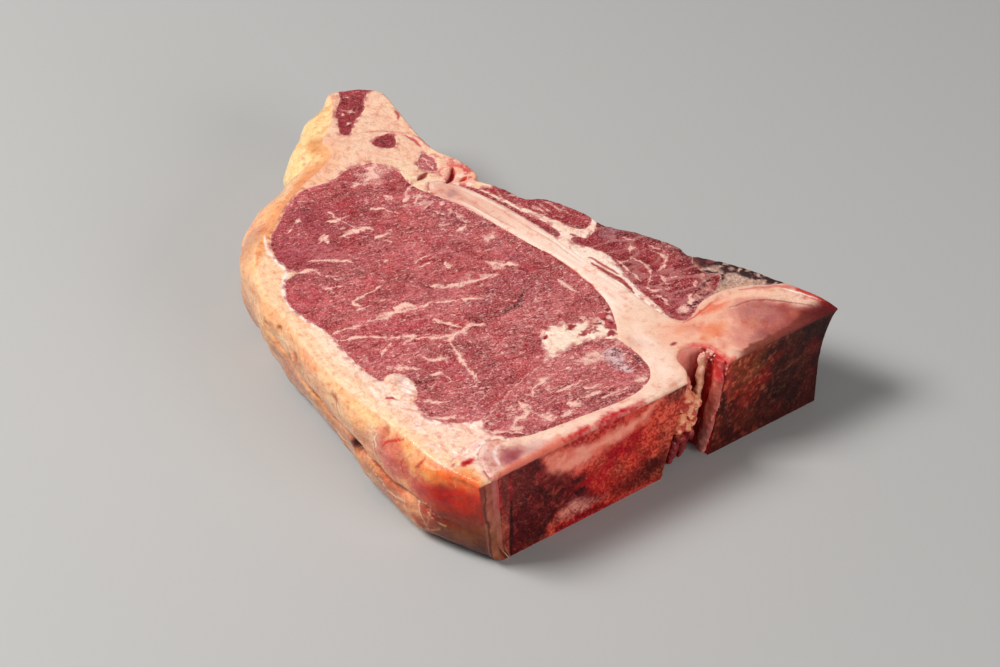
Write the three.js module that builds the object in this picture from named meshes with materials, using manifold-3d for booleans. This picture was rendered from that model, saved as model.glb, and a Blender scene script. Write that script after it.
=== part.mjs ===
// A raw, dry-aged T-bone steak, lying flat on its lower cut face.
//
// Millimetres, +Z up. All outlines are drawn on the upper cut face, in a drawing frame whose
// X axis runs along the sawn backbone face, from the free end of the sawn spine (X = 0) to the
// far corner of the vertebral body (X = 135), and whose Y axis runs from that face into the
// meat, towards the tail of the steak. Every tissue runs through the whole thickness, and the
// saw cut slants a little, so the lower face is shifted against the upper one.
// The exported group is centred on the origin, with its lower face at Z = 0.

import * as THREE from "three";
import Module from "manifold-3d";

const wasm = await Module();
wasm.setup();

// ---------------------------------------------------------------------------------------------
// Driving dimensions
// ---------------------------------------------------------------------------------------------

const THICKNESS = 38;          // cut face to cut face
const BONE_LENGTH = 135;       // sawn backbone face, spine end to vertebral body corner
const CANAL_LEFT = 70.5;       // spinal canal on the sawn face, upper edge
const CANAL_RIGHT = 88;
const SEAT_GAP = 0.3;          // clearance between neighbouring tissues
const OUTLINE_STEP = 4.2;      // spacing of the samples along an outline
const BELLY_DEPTH_POWER = 0.66; // puts the fullest point of the rim fat a third of the way down
const LOWER_EDGE_START = 0.8;  // fraction of the depth where the lower edge starts to round

// ---------------------------------------------------------------------------------------------
// Outlines on the upper cut face
// ---------------------------------------------------------------------------------------------

// The outer edge, counter-clockwise, as runs that meet in corners. A point is
// [x, y, belly, foot, edge]: belly is how far the outer wall swells out below the upper edge,
// foot is how far it stands out (or, below zero, tucks in) at the bottom, and edge is how far
// the lower edge is rounded off.
const FRONT_LEFT = [-12, 0, 0, -1.5, 6];
const CANAL_LEFT_EDGE = [CANAL_LEFT, 0, 0, 0, 0];
const CANAL_RIGHT_EDGE = [CANAL_RIGHT, 0, 0, 0, 0];
const BODY_CORNER = [BONE_LENGTH, 0, -3.5, 0, 0];
const FLAP_CREASE = [78.3, 129.2, 0.5, -2, 2];
const TAIL_TIP = [64.5, 205.3, 1.5, -2, 3];

const OUTER_EDGE = [
  [FRONT_LEFT, CANAL_LEFT_EDGE],
  [
    CANAL_LEFT_EDGE, [73.6, 4.6, 0, 0, 0], [74.9, 10.4, 0, 0, 0], [78.4, 13.7, 0, 0, 0],
    [83, 13.4, 0, 0, 0], [87, 9.2, 0, 0, 0], CANAL_RIGHT_EDGE,
  ],
  [CANAL_RIGHT_EDGE, BODY_CORNER],
  [
    BODY_CORNER, [134.2, 8, -3.5, 0, 0], [130.5, 18.5, -2.5, 0, 1], [124.5, 33, 0, -1, 2],
    [116.5, 46.3, 0.5, -1.5, 2], [112.5, 52, 0.5, -1.5, 2], [112.4, 58, 0.8, -2, 2],
    [106, 72, 0.8, -2, 2], [99.3, 82, 0.8, -2, 2], [97.9, 91.5, 0.8, -2, 2],
    [92.6, 105, 0.8, -2, 2], [86.2, 110.6, 0.8, -2, 2], [83.2, 120, 0.6, -2, 2], FLAP_CREASE,
  ],
  [
    FLAP_CREASE, [81, 132.5, 0.5, -2, 2], [80.4, 143, 1, -2, 2], [77.3, 153, 1, -2, 2],
    [77.7, 165, 1, -2, 2], [80.2, 181, 1, -2, 2], [82, 194, 1, -2, 2], [77.6, 200.8, 1, -2, 2],
    [71, 204.4, 1, -2, 2], TAIL_TIP,
  ],
  [
    TAIL_TIP, [60.6, 197, 7, 1, 4], [53.4, 187.7, 11, 4, 5], [46.4, 181, 12, 5, 5],
    [46, 175, 12, 5, 5], [40, 169.2, 12, 5, 5], [28, 163.6, 12, 5, 5], [14.5, 156.4, 12, 5, 5],
    [3.5, 148.6, 11, 4, 5], [-6, 142, 8, 2.5, 5], [-12.3, 131.5, 5, 0.5, 5],
    [-17, 118, 3, -1.5, 5], [-18.4, 103, 2, -2, 5], [-21, 86, 1.5, -3, 5],
    [-21.4, 68, 1.5, -2.6, 5], [-20.3, 50, 2, -1, 5], [-18.6, 32, 1.8, 0, 5],
    [-17.2, 16, 1, -0.5, 6], FRONT_LEFT,
  ],
];

// The T-shaped bone: half the spinous process and arch on the left, the transverse process
// as the stem, and half the vertebral body on the right. It overshoots the outer edge where it
// is sawn or bare.
const T_BONE = [
  [0, -4], [-1, 2], [0.4, 8], [4, 11.4], [9, 10.8], [17, 8.6], [29, 7.1], [43, 5.8],
  [54, 5.7], [61.5, 8.6], [65.2, 14], [66.2, 22], [66, 30], [70, 37.5], [74, 47], [75.1, 61],
  [74.6, 75], [72, 88.5], [69.3, 102], [67, 115], [63.4, 125], [61.4, 132.5], [64, 137.2],
  [68.2, 135.4], [73, 125.5], [77.4, 110], [80, 94], [81.7, 76], [83, 58], [84.3, 42],
  [85.6, 30.5], [89, 24.8], [93.6, 25.6], [99.5, 28.8], [107, 29.7], [115.5, 28], [124, 23.2],
  [132, 18.5], [142, 10], [142, -4],
];

// The eye of the strip loin, the large muscle on the left of the stem.
const STRIP_LOIN = [
  [-7.4, 38], [-4.6, 30.3], [3, 24.6], [10.5, 25], [23, 30.7], [39, 35.6], [43.4, 42.4],
  [50.4, 48.4], [58, 45.2], [68, 44.2], [76, 49], [76, 66], [74.6, 80], [71, 94],
  [69, 106], [66, 117.5], [61.7, 129], [58.2, 138.5], [58.4, 151], [53, 159.8], [43.4, 161],
  [36, 158.6], [27, 160.1], [17.5, 156.8], [8.5, 149.2], [1.6, 144], [-2.6, 135],
  [-3.3, 125.5], [-1.9, 121.6], [-7.4, 119.2], [-12.4, 110], [-12.3, 100], [-10.4, 87],
  [-11.2, 73], [-10.2, 60.5], [-6, 51],
];

// The small muscle between the strip loin and the sawn spine.
const CHINE_MUSCLE = [
  [8.8, 25.2], [4.6, 20.4], [6.8, 13.4], [15, 8.6], [29, 6.4], [45, 5], [57, 5.8], [65, 11.4],
  [67, 21], [65.4, 30], [58, 35.4], [46, 35.4], [34, 34.8], [20, 30.2],
];

// The tenderloin, on the right of the stem. It overshoots the bare outer edge.
const TENDERLOIN = [
  [86.6, 36], [86.2, 27], [90.4, 22.6], [95.4, 26.2], [103, 29], [110, 32.6], [114.2, 36.4],
  [111, 41.5], [111.4, 48], [117, 54], [116, 66], [108, 79], [100, 85], [95.2, 81.8],
  [90, 79.6], [86.6, 82.8], [84.4, 79.4], [88.2, 73.4], [89.8, 65], [87.8, 55], [87, 45],
];

// The lean along the outer edge beyond the tenderloin, and the thin strip on the stem.
const SIDE_LEAN = [
  [76.6, 124], [80.2, 121.8], [86, 124], [91, 115], [99, 106], [102, 92], [94, 83.9],
  [90, 86], [86.6, 95], [82.8, 104.6], [79.4, 114.6],
];
const STEM_LEAN = [
  [72.6, 127], [76.8, 113], [79.4, 99], [81.2, 86.6], [84.2, 87], [83.2, 96], [80.5, 106.5],
  [77.4, 118], [75.2, 125.6],
];

// Three cut muscle ends in the fat of the tail.
const TAIL_LEAN_TIP = [
  [54.3, 181.4], [57, 178.8], [63, 184.4], [70, 189.3], [75.5, 196.2], [81, 200], [76, 206],
  [69.6, 205], [66, 198.8], [60.3, 193.6], [57.2, 187],
];
const TAIL_LEAN_MIDDLE = [
  [60.5, 169], [64, 171.3], [69.6, 170.4], [68, 164.6], [64.6, 162.8], [61.4, 165.6],
];
const TAIL_LEAN_FOLD = [
  [66, 146.8], [68.6, 151.6], [72.2, 153.5], [73.4, 148], [70.6, 141.6], [67.4, 143.4],
];

// The cut end of the back ligament, in the front left corner against the spine.
const BACKSTRAP = [
  [-7, -4], [-7, 4], [-5.3, 10], [-1, 14.2], [4.8, 13.8], [5.4, 9.5], [3, 4], [2, -4],
];

// The tendon oval between the rim fat and the strip loin.
const TENDON = { x: -6.3, y: 51.8, across: 4.5, along: 7.6, turn: -0.1, samples: 16 };

// The fat wedge between the strip loin, the chine muscle and the bone.
const FAT_WEDGE = [
  [35, 33], [43, 44], [50, 50], [59, 47], [67, 46.5], [74, 46], [72, 37], [66, 29.5],
  [58, 33], [46, 33],
];

// The dried fat that covered the kidney side, in the corner of tenderloin and bone.
const KIDNEY_FAT = [
  [110.8, 47], [111, 41], [114, 36.4], [109, 32.2], [102, 29.6], [115, 28], [124, 22.6],
  [131, 18], [140, 24], [132, 38], [123, 50], [114, 53.6],
];

// Inside the spinal canal, below the upper face: lumps of fat in its left half, each
// [x, y, depth, radius], and two upright strips, the sheath and the ligament on the right wall.
const CANAL_FAT_LUMPS = [
  [77.4, 6.8, 0.26, 2.8], [77.2, 5.2, 0.36, 3.1], [80, 5.6, 0.45, 3.2], [77.4, 5, 0.53, 3.1],
  [79.2, 5, 0.61, 3.2],
];
const STRIP_DEPTHS = [0.97, 0.04];
const CANAL_STRIPS = [
  { name: "canal_sheath", color: 0xd9a58c,
    oval: { x: 85, y: 7, across: 1, along: 2.3, turn: -0.6, samples: 12 } },
  { name: "canal_ligament", color: 0xb8504a,
    oval: { x: 86.5, y: 2.6, across: 1.1, along: 2.2, turn: 0, samples: 12 } },
];

// How far the lower face is shifted against the upper one: [x, y, shift along X, along Y].
const SLANT = [
  [-12, 0, 3, 0], [0, 6, 0, 0], [CANAL_LEFT, 0, -9.3, 0], [CANAL_RIGHT, 0, -6.5, 0],
  [BONE_LENGTH, 0, -6.5, 0], [-11, 40, 1, 0], [-11, 75, 3.5, 0], [-12, 110, 3.5, 0],
  [20, 160, 0, 0.5], [60, 150, -2.5, 1.5], [78, 85, -5, 0], [112, 60, -5.5, -1],
  [72, 200, -2, 0.5], [30, 28, -2, 1.5],
];
const SLANT_SOFTNESS = 60;     // squared distance at which a slant point stops dominating
const SAWN_FACE_FADE = 16;     // distance over which shifts along Y fade out at the sawn face

// ---------------------------------------------------------------------------------------------
// Shape functions
// ---------------------------------------------------------------------------------------------

// The shift of the lower face below an upper point.
function slantAt(x, y) {
  let total = 0;
  let shiftX = 0;
  let shiftY = 0;
  for (const [anchorX, anchorY, alongX, alongY] of SLANT) {
    const weight = 1 / ((x - anchorX) ** 2 + (y - anchorY) ** 2 + SLANT_SOFTNESS) ** 2;
    total += weight;
    shiftX += weight * alongX;
    shiftY += weight * alongY;
  }
  const fade = THREE.MathUtils.clamp(y / SAWN_FACE_FADE, 0, 1);
  return [shiftX / total, (shiftY / total) * fade];
}

// A drawing point carried down to a depth from 0, the upper face, to 1, the lower face.
function carryDown(x, y, depth) {
  const [shiftX, shiftY] = slantAt(x, y);
  return new THREE.Vector3(x + depth * shiftX, y + depth * shiftY, THICKNESS * (1 - depth));
}

// How far the outer wall stands out at a depth.
function wallOffset({ belly, foot, edge }, depth) {
  const swell = Math.sin(Math.PI * depth ** BELLY_DEPTH_POWER);
  const tuck = depth * depth * (3 - 2 * depth);
  const round = Math.max(0, (depth - LOWER_EDGE_START) / (1 - LOWER_EDGE_START));
  return belly * swell + foot * tuck - edge * (1 - Math.sqrt(1 - round * round));
}

// Samples along one smooth open run of [x, y, belly, foot, edge] points. A straight run needs
// only its start, because the next run begins at its end.
function sampleRun(points) {
  const place = new THREE.SplineCurve(points.map(([x, y]) => new THREE.Vector2(x, y)));
  const walls = points.map(([, , belly, foot, edge]) => new THREE.Vector3(belly, foot, edge));
  const straight = points.length === 2;
  const count = straight ? 1 : Math.round(place.getLength() / OUTLINE_STEP);
  const samples = [];
  for (let i = 0; i < count; i++) {
    const share = place.getUtoTmapping(i / count);
    const at = place.getPoint(share);
    const along = share * (points.length - 1);
    const before = Math.floor(along);
    const after = Math.min(before + 1, points.length - 1);
    const wall = walls[before].clone().lerp(walls[after], along - before);
    samples.push({ x: at.x, y: at.y, belly: wall.x, foot: wall.y, edge: wall.z });
  }
  return samples;
}

// Samples along a smooth closed outline of [x, y] points.
function sampleLoop(points) {
  const corners = points.map(([x, y]) => new THREE.Vector3(x, y, 0));
  const curve = new THREE.CatmullRomCurve3(corners, true, "catmullrom", 0.5);
  const count = Math.round(curve.getLength() / OUTLINE_STEP);
  const loop = curve.getSpacedPoints(count).slice(0, count);
  return loop.map((point) => new THREE.Vector2(point.x, point.y));
}

// An upright oval as a closed outline.
function sampleOval({ x, y, across, along, turn, samples }) {
  const curve = new THREE.EllipseCurve(x, y, across, along, 0, 2 * Math.PI, false, turn);
  return curve.getPoints(samples).slice(0, samples);
}

// Outward unit normals of a counter-clockwise outline.
function outlineNormals(outline) {
  return outline.map((point, i) => {
    const before = outline[(i + outline.length - 1) % outline.length];
    const after = outline[(i + 1) % outline.length];
    const arriving = new THREE.Vector2(point.x - before.x, point.y - before.y).normalize();
    const leaving = new THREE.Vector2(after.x - point.x, after.y - point.y).normalize();
    const along = arriving.add(leaving).normalize();
    return new THREE.Vector2(along.y, -along.x);
  });
}

function counterClockwise(outline) {
  return THREE.ShapeUtils.isClockWise(outline) ? outline.slice().reverse() : outline;
}

// A closed solid through rings of equal length, from the lowest ring to the highest.
function loft(rings) {
  const around = rings[0].length;
  const positions = rings.flat().flatMap((point) => [point.x, point.y, point.z]);
  const triangles = [];
  for (let level = 0; level < rings.length - 1; level++) {
    for (let i = 0; i < around; i++) {
      const lower = level * around + i;
      const lowerNext = level * around + ((i + 1) % around);
      triangles.push(lower, lowerNext, lowerNext + around);
      triangles.push(lower, lowerNext + around, lower + around);
    }
  }
  const lid = (rings.length - 1) * around;
  const floorFaces = THREE.ShapeUtils.triangulateShape(rings[0], []);
  const lidFaces = THREE.ShapeUtils.triangulateShape(rings[rings.length - 1], []);
  for (const [a, b, c] of floorFaces) triangles.push(a, c, b);
  for (const [a, b, c] of lidFaces) triangles.push(lid + a, lid + b, lid + c);
  return new wasm.Manifold(new wasm.Mesh({
    numProp: 3,
    vertProperties: new Float32Array(positions),
    triVerts: new Uint32Array(triangles),
  }));
}

// A tissue that runs through the thickness, drawn at its outline or grown by a margin. Unless
// told other depths, it stands proud of both cut faces, so that the outer body trims it.
function throughCut(outline, margin = 0, depths = [1.1, -0.1]) {
  const ring = counterClockwise(outline);
  const normals = outlineNormals(ring);
  return loft(depths.map((depth) => ring.map((point, i) => carryDown(
    point.x + margin * normals[i].x,
    point.y + margin * normals[i].y,
    depth,
  ))));
}

// The whole steak inside its outer wall. The sawn face stays flat, so its two outer corners
// swell and tuck along it.
function wholeSteak() {
  const outline = OUTER_EDGE.flatMap(sampleRun);
  const normals = outlineNormals(outline);
  normals.forEach((normal, i) => {
    if (outline[i].y === 0) normal.set(outline[i].x < CANAL_LEFT ? -1 : 1, 0);
  });
  const depths = [1, 0.985, 0.94, 0.87, LOWER_EDGE_START, 0.6, 0.4, 0.24, 0.12, 0.04, 0];
  return loft(depths.map((depth) => outline.map((point, i) => {
    const offset = wallOffset(point, depth);
    const place = carryDown(point.x, point.y, depth);
    place.x += offset * normals[i].x;
    place.y += offset * normals[i].y;
    return place;
  })));
}

// A round lump for the canal fat.
function lump([x, y, depth, radius]) {
  const ball = new THREE.IcosahedronGeometry(radius, 1);
  const place = carryDown(x, y, depth);
  ball.translate(place.x, place.y, place.z);
  return fromGeometry(ball);
}

// Solids from three.js geometries, with shared corners merged by place.
function fromGeometry(geometry) {
  const source = geometry.getAttribute("position");
  const seen = new Map();
  const positions = [];
  const triangles = [];
  for (let i = 0; i < source.count; i++) {
    const corner = [source.getX(i), source.getY(i), source.getZ(i)];
    const key = corner.map((value) => value.toFixed(4)).join(" ");
    if (!seen.has(key)) {
      seen.set(key, positions.length / 3);
      positions.push(...corner);
    }
    triangles.push(seen.get(key));
  }
  return new wasm.Manifold(new wasm.Mesh({
    numProp: 3,
    vertProperties: new Float32Array(positions),
    triVerts: new Uint32Array(triangles),
  }));
}

// The largest connected part of a solid: crumbs from the cuts are left out.
function largestPart(solid) {
  const parts = solid.decompose();
  parts.sort((first, second) => second.volume() - first.volume());
  return parts[0];
}

function toMesh(name, solid, color, roughness) {
  const cut = solid.getMesh();
  const geometry = new THREE.BufferGeometry();
  geometry.setAttribute("position", new THREE.BufferAttribute(cut.vertProperties, 3));
  geometry.setIndex(new THREE.BufferAttribute(cut.triVerts, 1));
  const flat = geometry.toNonIndexed();
  flat.computeVertexNormals();
  const mesh = new THREE.Mesh(flat, new THREE.MeshStandardMaterial({ color, roughness }));
  mesh.name = name;
  return mesh;
}

// ---------------------------------------------------------------------------------------------
// The tissues, in the order in which they claim their room
// ---------------------------------------------------------------------------------------------

const LEAN = 0x8a3a44;
const FAT = 0xe8c3a0;

const TISSUES = [
  { name: "t_bone", outline: sampleLoop(T_BONE), color: 0xd9a48c, roughness: 0.6 },
  { name: "backstrap", outline: sampleLoop(BACKSTRAP), color: 0xd8c0b8, roughness: 0.4 },
  { name: "tendon", outline: sampleOval(TENDON), color: 0xd9cfc8, roughness: 0.4 },
  { name: "tenderloin", outline: sampleLoop(TENDERLOIN), color: LEAN, roughness: 0.5 },
  { name: "kidney_fat", outline: sampleLoop(KIDNEY_FAT), color: 0xc9a27c, roughness: 0.7 },
  { name: "strip_loin", outline: sampleLoop(STRIP_LOIN), color: LEAN, roughness: 0.5 },
  { name: "chine_muscle", outline: sampleLoop(CHINE_MUSCLE), color: LEAN, roughness: 0.5 },
  { name: "fat_wedge", outline: sampleLoop(FAT_WEDGE), color: FAT, roughness: 0.5 },
  { name: "stem_lean", outline: sampleLoop(STEM_LEAN), color: LEAN, roughness: 0.5 },
  { name: "side_lean", outline: sampleLoop(SIDE_LEAN), color: LEAN, roughness: 0.5 },
  { name: "tail_lean_tip", outline: sampleLoop(TAIL_LEAN_TIP), color: LEAN, roughness: 0.5 },
  { name: "tail_lean_middle", outline: sampleLoop(TAIL_LEAN_MIDDLE), color: LEAN, roughness: 0.5 },
  { name: "tail_lean_fold", outline: sampleLoop(TAIL_LEAN_FOLD), color: LEAN, roughness: 0.5 },
];

const steak = new THREE.Group();
const body = wholeSteak();
let free = body;
for (const { name, outline, color, roughness } of TISSUES) {
  const piece = largestPart(throughCut(outline).intersect(free));
  steak.add(toMesh(name, piece, color, roughness));
  free = free.subtract(throughCut(outline, SEAT_GAP));
}
steak.add(toMesh("fat_cap", largestPart(free), FAT, 0.5));

// What sits in the canal keeps clear of its walls and of each other.
let canalWalls = throughCut(OUTER_EDGE.flatMap(sampleRun), SEAT_GAP);
for (const { name, oval, color } of CANAL_STRIPS) {
  const strip = throughCut(sampleOval(oval), 0, STRIP_DEPTHS);
  steak.add(toMesh(name, largestPart(strip.subtract(canalWalls)), color, 0.4));
  canalWalls = canalWalls.add(throughCut(sampleOval(oval), SEAT_GAP));
}
const canalFat = CANAL_FAT_LUMPS.map(lump).reduce((whole, next) => whole.add(next));
steak.add(toMesh("canal_fat", largestPart(canalFat.subtract(canalWalls)), 0xe0b27a, 0.45));

// ---------------------------------------------------------------------------------------------
// Centre the steak over the origin
// ---------------------------------------------------------------------------------------------

const box = new THREE.Box3().setFromObject(steak);
const centre = box.getCenter(new THREE.Vector3());
steak.position.set(-centre.x, -centre.y, -box.min.z);

export default steak;
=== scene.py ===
"""A raw, dry-aged T-bone steak lying on its lower cut face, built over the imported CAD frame.

Lengths are millimetres in the drawing frame of the CAD model until the meshes are made: X runs
along the sawn backbone face from the spine end (0) to the vertebral body corner (135), Y runs
from that face towards the tail, and Z is up from the lower cut face. Every tissue is drawn on
the upper cut face and runs down through the thickness.
"""

import itertools
import math

import bpy
import numpy as np
from mathutils import Matrix, Vector
from mathutils.geometry import delaunay_2d_cdt
from mathutils.kdtree import KDTree


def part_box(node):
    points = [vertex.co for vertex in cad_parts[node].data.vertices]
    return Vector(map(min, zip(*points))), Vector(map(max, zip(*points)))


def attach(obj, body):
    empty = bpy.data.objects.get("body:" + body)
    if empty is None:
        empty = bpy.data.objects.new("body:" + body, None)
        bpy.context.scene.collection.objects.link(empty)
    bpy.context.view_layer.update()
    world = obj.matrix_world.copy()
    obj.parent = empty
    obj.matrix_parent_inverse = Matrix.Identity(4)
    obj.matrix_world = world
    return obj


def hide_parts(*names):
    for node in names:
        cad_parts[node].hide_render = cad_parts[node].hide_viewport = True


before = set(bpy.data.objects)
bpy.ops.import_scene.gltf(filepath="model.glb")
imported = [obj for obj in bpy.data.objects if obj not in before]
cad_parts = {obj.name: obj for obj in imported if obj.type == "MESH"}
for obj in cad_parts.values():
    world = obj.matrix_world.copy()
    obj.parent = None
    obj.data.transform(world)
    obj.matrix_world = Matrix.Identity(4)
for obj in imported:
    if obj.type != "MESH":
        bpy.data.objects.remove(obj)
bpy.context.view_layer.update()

MM = 0.001
THICKNESS = 38.0
BONE_LENGTH = 135.0

# Mesh spacing.
TOP_STEP = 0.42
FLOOR_STEP = 1.0
WALL_LEVELS = 54
INNER_LEVELS = 4
TOP_CLEAR = 0.62               # how many steps the lattice keeps away from the drawn lines
FLOOR_CLEAR = 0.5
TOP_MERGE = 1e-5               # points of the upper face nearer than this become one
FLOOR_MERGE = 1e-6
SLIVER = 1e-9                  # twice the area of the smallest triangle that is kept
KEY_STEP = 10 ** 7             # more than there are points

# ----------------------------------------------------------------------------------------------
# Outlines on the upper cut face, as in the CAD model
# ----------------------------------------------------------------------------------------------

# The outer edge, counter-clockwise. A point is [x, y, belly, foot, edge, rim]: belly is how far
# the wall swells out, foot how far it stands out at the bottom, edge how far the lower edge is
# rounded off, and rim how far the upper edge is.
CANAL_LEFT = 70.5
CANAL_RIGHT = 88.0
CANAL_MIDDLE = 76.0
CANAL_DEEP = 14.5
CANAL_RELIEF = 0.4             # how much of the wall's unevenness the canal has
FRONT_LEFT = [-12, 0, 0, -1.5, 6, 1.0]
CANAL_LEFT_EDGE = [CANAL_LEFT, 0, 0, 0, 0, 0.5]
CANAL_RIGHT_EDGE = [CANAL_RIGHT, 0, 0, 0, 0, 0.5]
BODY_CORNER = [BONE_LENGTH, 0, -3.5, 0, 0, 0.8]
FLAP_CREASE = [78.3, 129.2, 0.5, -2, 2, 1.0]
TAIL_TIP = [64.5, 205.3, 1.5, -2, 3, 1.2]
SAWN_LEFT = [FRONT_LEFT, CANAL_LEFT_EDGE]
CANAL_WALL = [
    CANAL_LEFT_EDGE, [73.6, 4.6, 0, 0, 0, 0.6], [74.9, 10.4, 0, 0, 0, 0.6],
    [78.4, 13.7, 0, 0, 0, 0.6], [83, 13.4, 0, 0, 0, 0.6], [87, 9.2, 0, 0, 0, 0.6],
    CANAL_RIGHT_EDGE,
]
SAWN_RIGHT = [CANAL_RIGHT_EDGE, BODY_CORNER]
RIGHT_EDGE = [
    BODY_CORNER, [134.2, 8, -3.5, 0, 0, 1.0], [130.5, 18.5, -2.5, 0, 1, 1.0],
    [124.5, 33, 0, -1, 2, 1.0], [116.5, 46.3, 0.5, -1.5, 2, 1.0], [112.5, 52, 0.5, -1.5, 2, 0.8],
    [112.4, 58, 0.8, -2, 2, 0.8], [106, 72, 0.8, -2, 2, 0.8], [99.3, 82, 0.8, -2, 2, 0.8],
    [97.9, 91.5, 0.8, -2, 2, 0.8], [92.6, 105, 0.8, -2, 2, 0.8], [86.2, 110.6, 0.8, -2, 2, 0.8],
    [83.2, 120, 0.6, -2, 2, 0.8], FLAP_CREASE,
]
TAIL_EDGE = [
    FLAP_CREASE, [81, 132.5, 0.5, -2, 2, 1.2], [80.4, 143, 1, -2, 2, 1.2],
    [77.3, 153, 1, -2, 2, 1.2], [77.7, 165, 1, -2, 2, 1.2], [80.2, 181, 1, -2, 2, 1.2],
    [82, 194, 1, -2, 2, 1.2], [77.6, 200.8, 1, -2, 2, 1.2], [71, 204.4, 1, -2, 2, 1.2], TAIL_TIP,
]
FAT_EDGE = [
    TAIL_TIP, [60.6, 197, 7, 1, 4, 0.8], [53.4, 187.7, 11, 4, 5, 0.8], [46.4, 181, 12, 5, 5, 0.8],
    [46, 175, 12, 5, 5, 0.8], [40, 169.2, 12, 5, 5, 0.8], [28, 163.6, 12, 5, 5, 0.8],
    [14.5, 156.4, 12, 5, 5, 0.8], [3.5, 148.6, 11, 4, 5, 0.8], [-6, 142, 8, 2.5, 5, 0.8],
    [-12.3, 131.5, 5, 0.5, 5, 1.0], [-17, 118, 3, -1.5, 5, 1.0], [-18.4, 103, 2, -2, 5, 1.2],
    [-21, 86, 1.5, -3, 5, 1.4], [-21.4, 68, 1.5, -2.6, 5, 1.4], [-20.3, 50, 2, -1, 5, 1.4],
    [-18.6, 32, 1.8, 0, 5, 1.4], [-17.2, 16, 1, -0.5, 6, 1.8], FRONT_LEFT,
]
RUNS = [SAWN_LEFT, CANAL_WALL, SAWN_RIGHT, RIGHT_EDGE, TAIL_EDGE, FAT_EDGE]

T_BONE = [
    [0, -4], [-1, 2], [0.4, 8], [4, 11.4], [9, 10.8], [17, 8.6], [29, 7.1], [43, 5.8],
    [54, 5.7], [61.5, 8.6], [65.2, 14], [66.2, 22], [66, 30], [70, 37.5], [74, 47], [75.1, 61],
    [74.6, 75], [72, 88.5], [69.3, 102], [67, 115], [63.4, 125], [61.4, 132.5], [64, 137.2],
    [68.2, 135.4], [73, 125.5], [77.4, 110], [80, 94], [81.7, 76], [83, 58], [84.3, 42],
    [85.6, 30.5], [89, 24.8], [93.6, 25.6], [99.5, 28.8], [107, 29.7], [115.5, 28], [124, 23.2],
    [132, 18.5], [142, 10], [142, -4],
]
STRIP_LOIN = [
    [-7.4, 38], [-4.6, 30.3], [3, 24.6], [10.5, 25], [23, 30.7], [39, 35.6], [43.4, 42.4],
    [50.4, 48.4], [58, 45.2], [68, 44.2], [76, 49], [76, 66], [74.6, 80], [71, 94],
    [69, 106], [66, 117.5], [61.7, 129], [58.2, 138.5], [58.4, 151], [53, 159.8], [43.4, 161],
    [36, 158.6], [27, 160.1], [17.5, 156.8], [8.5, 149.2], [1.6, 144], [-2.6, 135],
    [-3.3, 125.5], [-1.9, 121.6], [-7.4, 119.2], [-12.4, 110], [-12.3, 100], [-10.4, 87],
    [-11.2, 73], [-10.2, 60.5], [-6, 51],
]
CHINE_MUSCLE = [
    [8.8, 25.2], [4.6, 20.4], [6.8, 13.4], [15, 8.6], [29, 6.4], [45, 5], [57, 5.8], [65, 11.4],
    [67, 21], [65.4, 30], [58, 35.4], [46, 35.4], [34, 34.8], [20, 30.2],
]
TENDERLOIN = [
    [86.6, 36], [86.2, 27], [90.4, 22.6], [95.4, 26.2], [103, 29], [110, 32.6], [114.2, 36.4],
    [111, 41.5], [111.4, 48], [117, 54], [116, 66], [108, 79], [100, 85], [95.2, 81.8],
    [90, 79.6], [86.6, 82.8], [84.4, 79.4], [88.2, 73.4], [89.8, 65], [87.8, 55], [87, 45],
]
SIDE_LEAN = [
    [76.6, 124], [80.2, 121.8], [86, 124], [91, 115], [99, 106], [102, 92], [94, 83.9],
    [90, 86], [86.6, 95], [82.8, 104.6], [79.4, 114.6],
]
STEM_LEAN = [
    [72.6, 127], [76.8, 113], [79.4, 99], [81.2, 86.6], [84.2, 87], [83.2, 96], [80.5, 106.5],
    [77.4, 118], [75.2, 125.6],
]
TAIL_LEAN_TIP = [
    [54.3, 181.4], [57, 178.8], [63, 184.4], [70, 189.3], [75.5, 196.2], [81, 200], [76, 206],
    [69.6, 205], [66, 198.8], [60.3, 193.6], [57.2, 187],
]
TAIL_LEAN_MIDDLE = [
    [60.5, 169], [64, 171.3], [69.6, 170.4], [68, 164.6], [64.6, 162.8], [61.4, 165.6],
]
TAIL_LEAN_FOLD = [
    [66, 146.8], [68.6, 151.6], [72.2, 153.5], [73.4, 148], [70.6, 141.6], [67.4, 143.4],
]
BACKSTRAP = [
    [-7, -4], [-7, 4], [-5.3, 10], [-1, 14.2], [4.8, 13.8], [5.4, 9.5], [3, 4], [2, -4],
]
FAT_WEDGE = [
    [35, 33], [43, 44], [50, 50], [59, 47], [67, 46.5], [74, 46], [72, 37], [66, 29.5],
    [58, 33], [46, 33],
]
KIDNEY_FAT = [
    [110.8, 47], [111, 41], [114, 36.4], [109, 32.2], [102, 29.6], [115, 28], [124, 22.6],
    [131, 18], [140, 24], [132, 38], [123, 50], [114, 53.6],
]
TENDON_CENTRE = (-6.3, 51.8)
TENDON_ACROSS = 4.5
TENDON_ALONG = 7.6
TENDON_TURN = -0.1

# How far the lower face is shifted against the upper one: [x, y, along X, along Y].
SLANT = np.array([
    [-12, 0, 3, 0], [0, 6, 0, 0], [CANAL_LEFT, 0, -9.3, 0], [CANAL_RIGHT, 0, -6.5, 0],
    [BONE_LENGTH, 0, -6.5, 0], [-11, 40, 1, 0], [-11, 75, 3.5, 0], [-12, 110, 3.5, 0],
    [20, 160, 0, 0.5], [60, 150, -2.5, 1.5], [78, 85, -5, 0], [112, 60, -5.5, -1],
    [72, 200, -2, 0.5], [30, 28, -2, 1.5],
], float)
SLANT_SOFTNESS = 60.0
SAWN_FACE_FADE = 16.0
WALL_REACH = 16.0              # how far in from the edge the wall's swelling is felt
SPLINE_STEPS = 24
CURVE_STEP = 1.0               # between the samples of a drawn line

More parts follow.
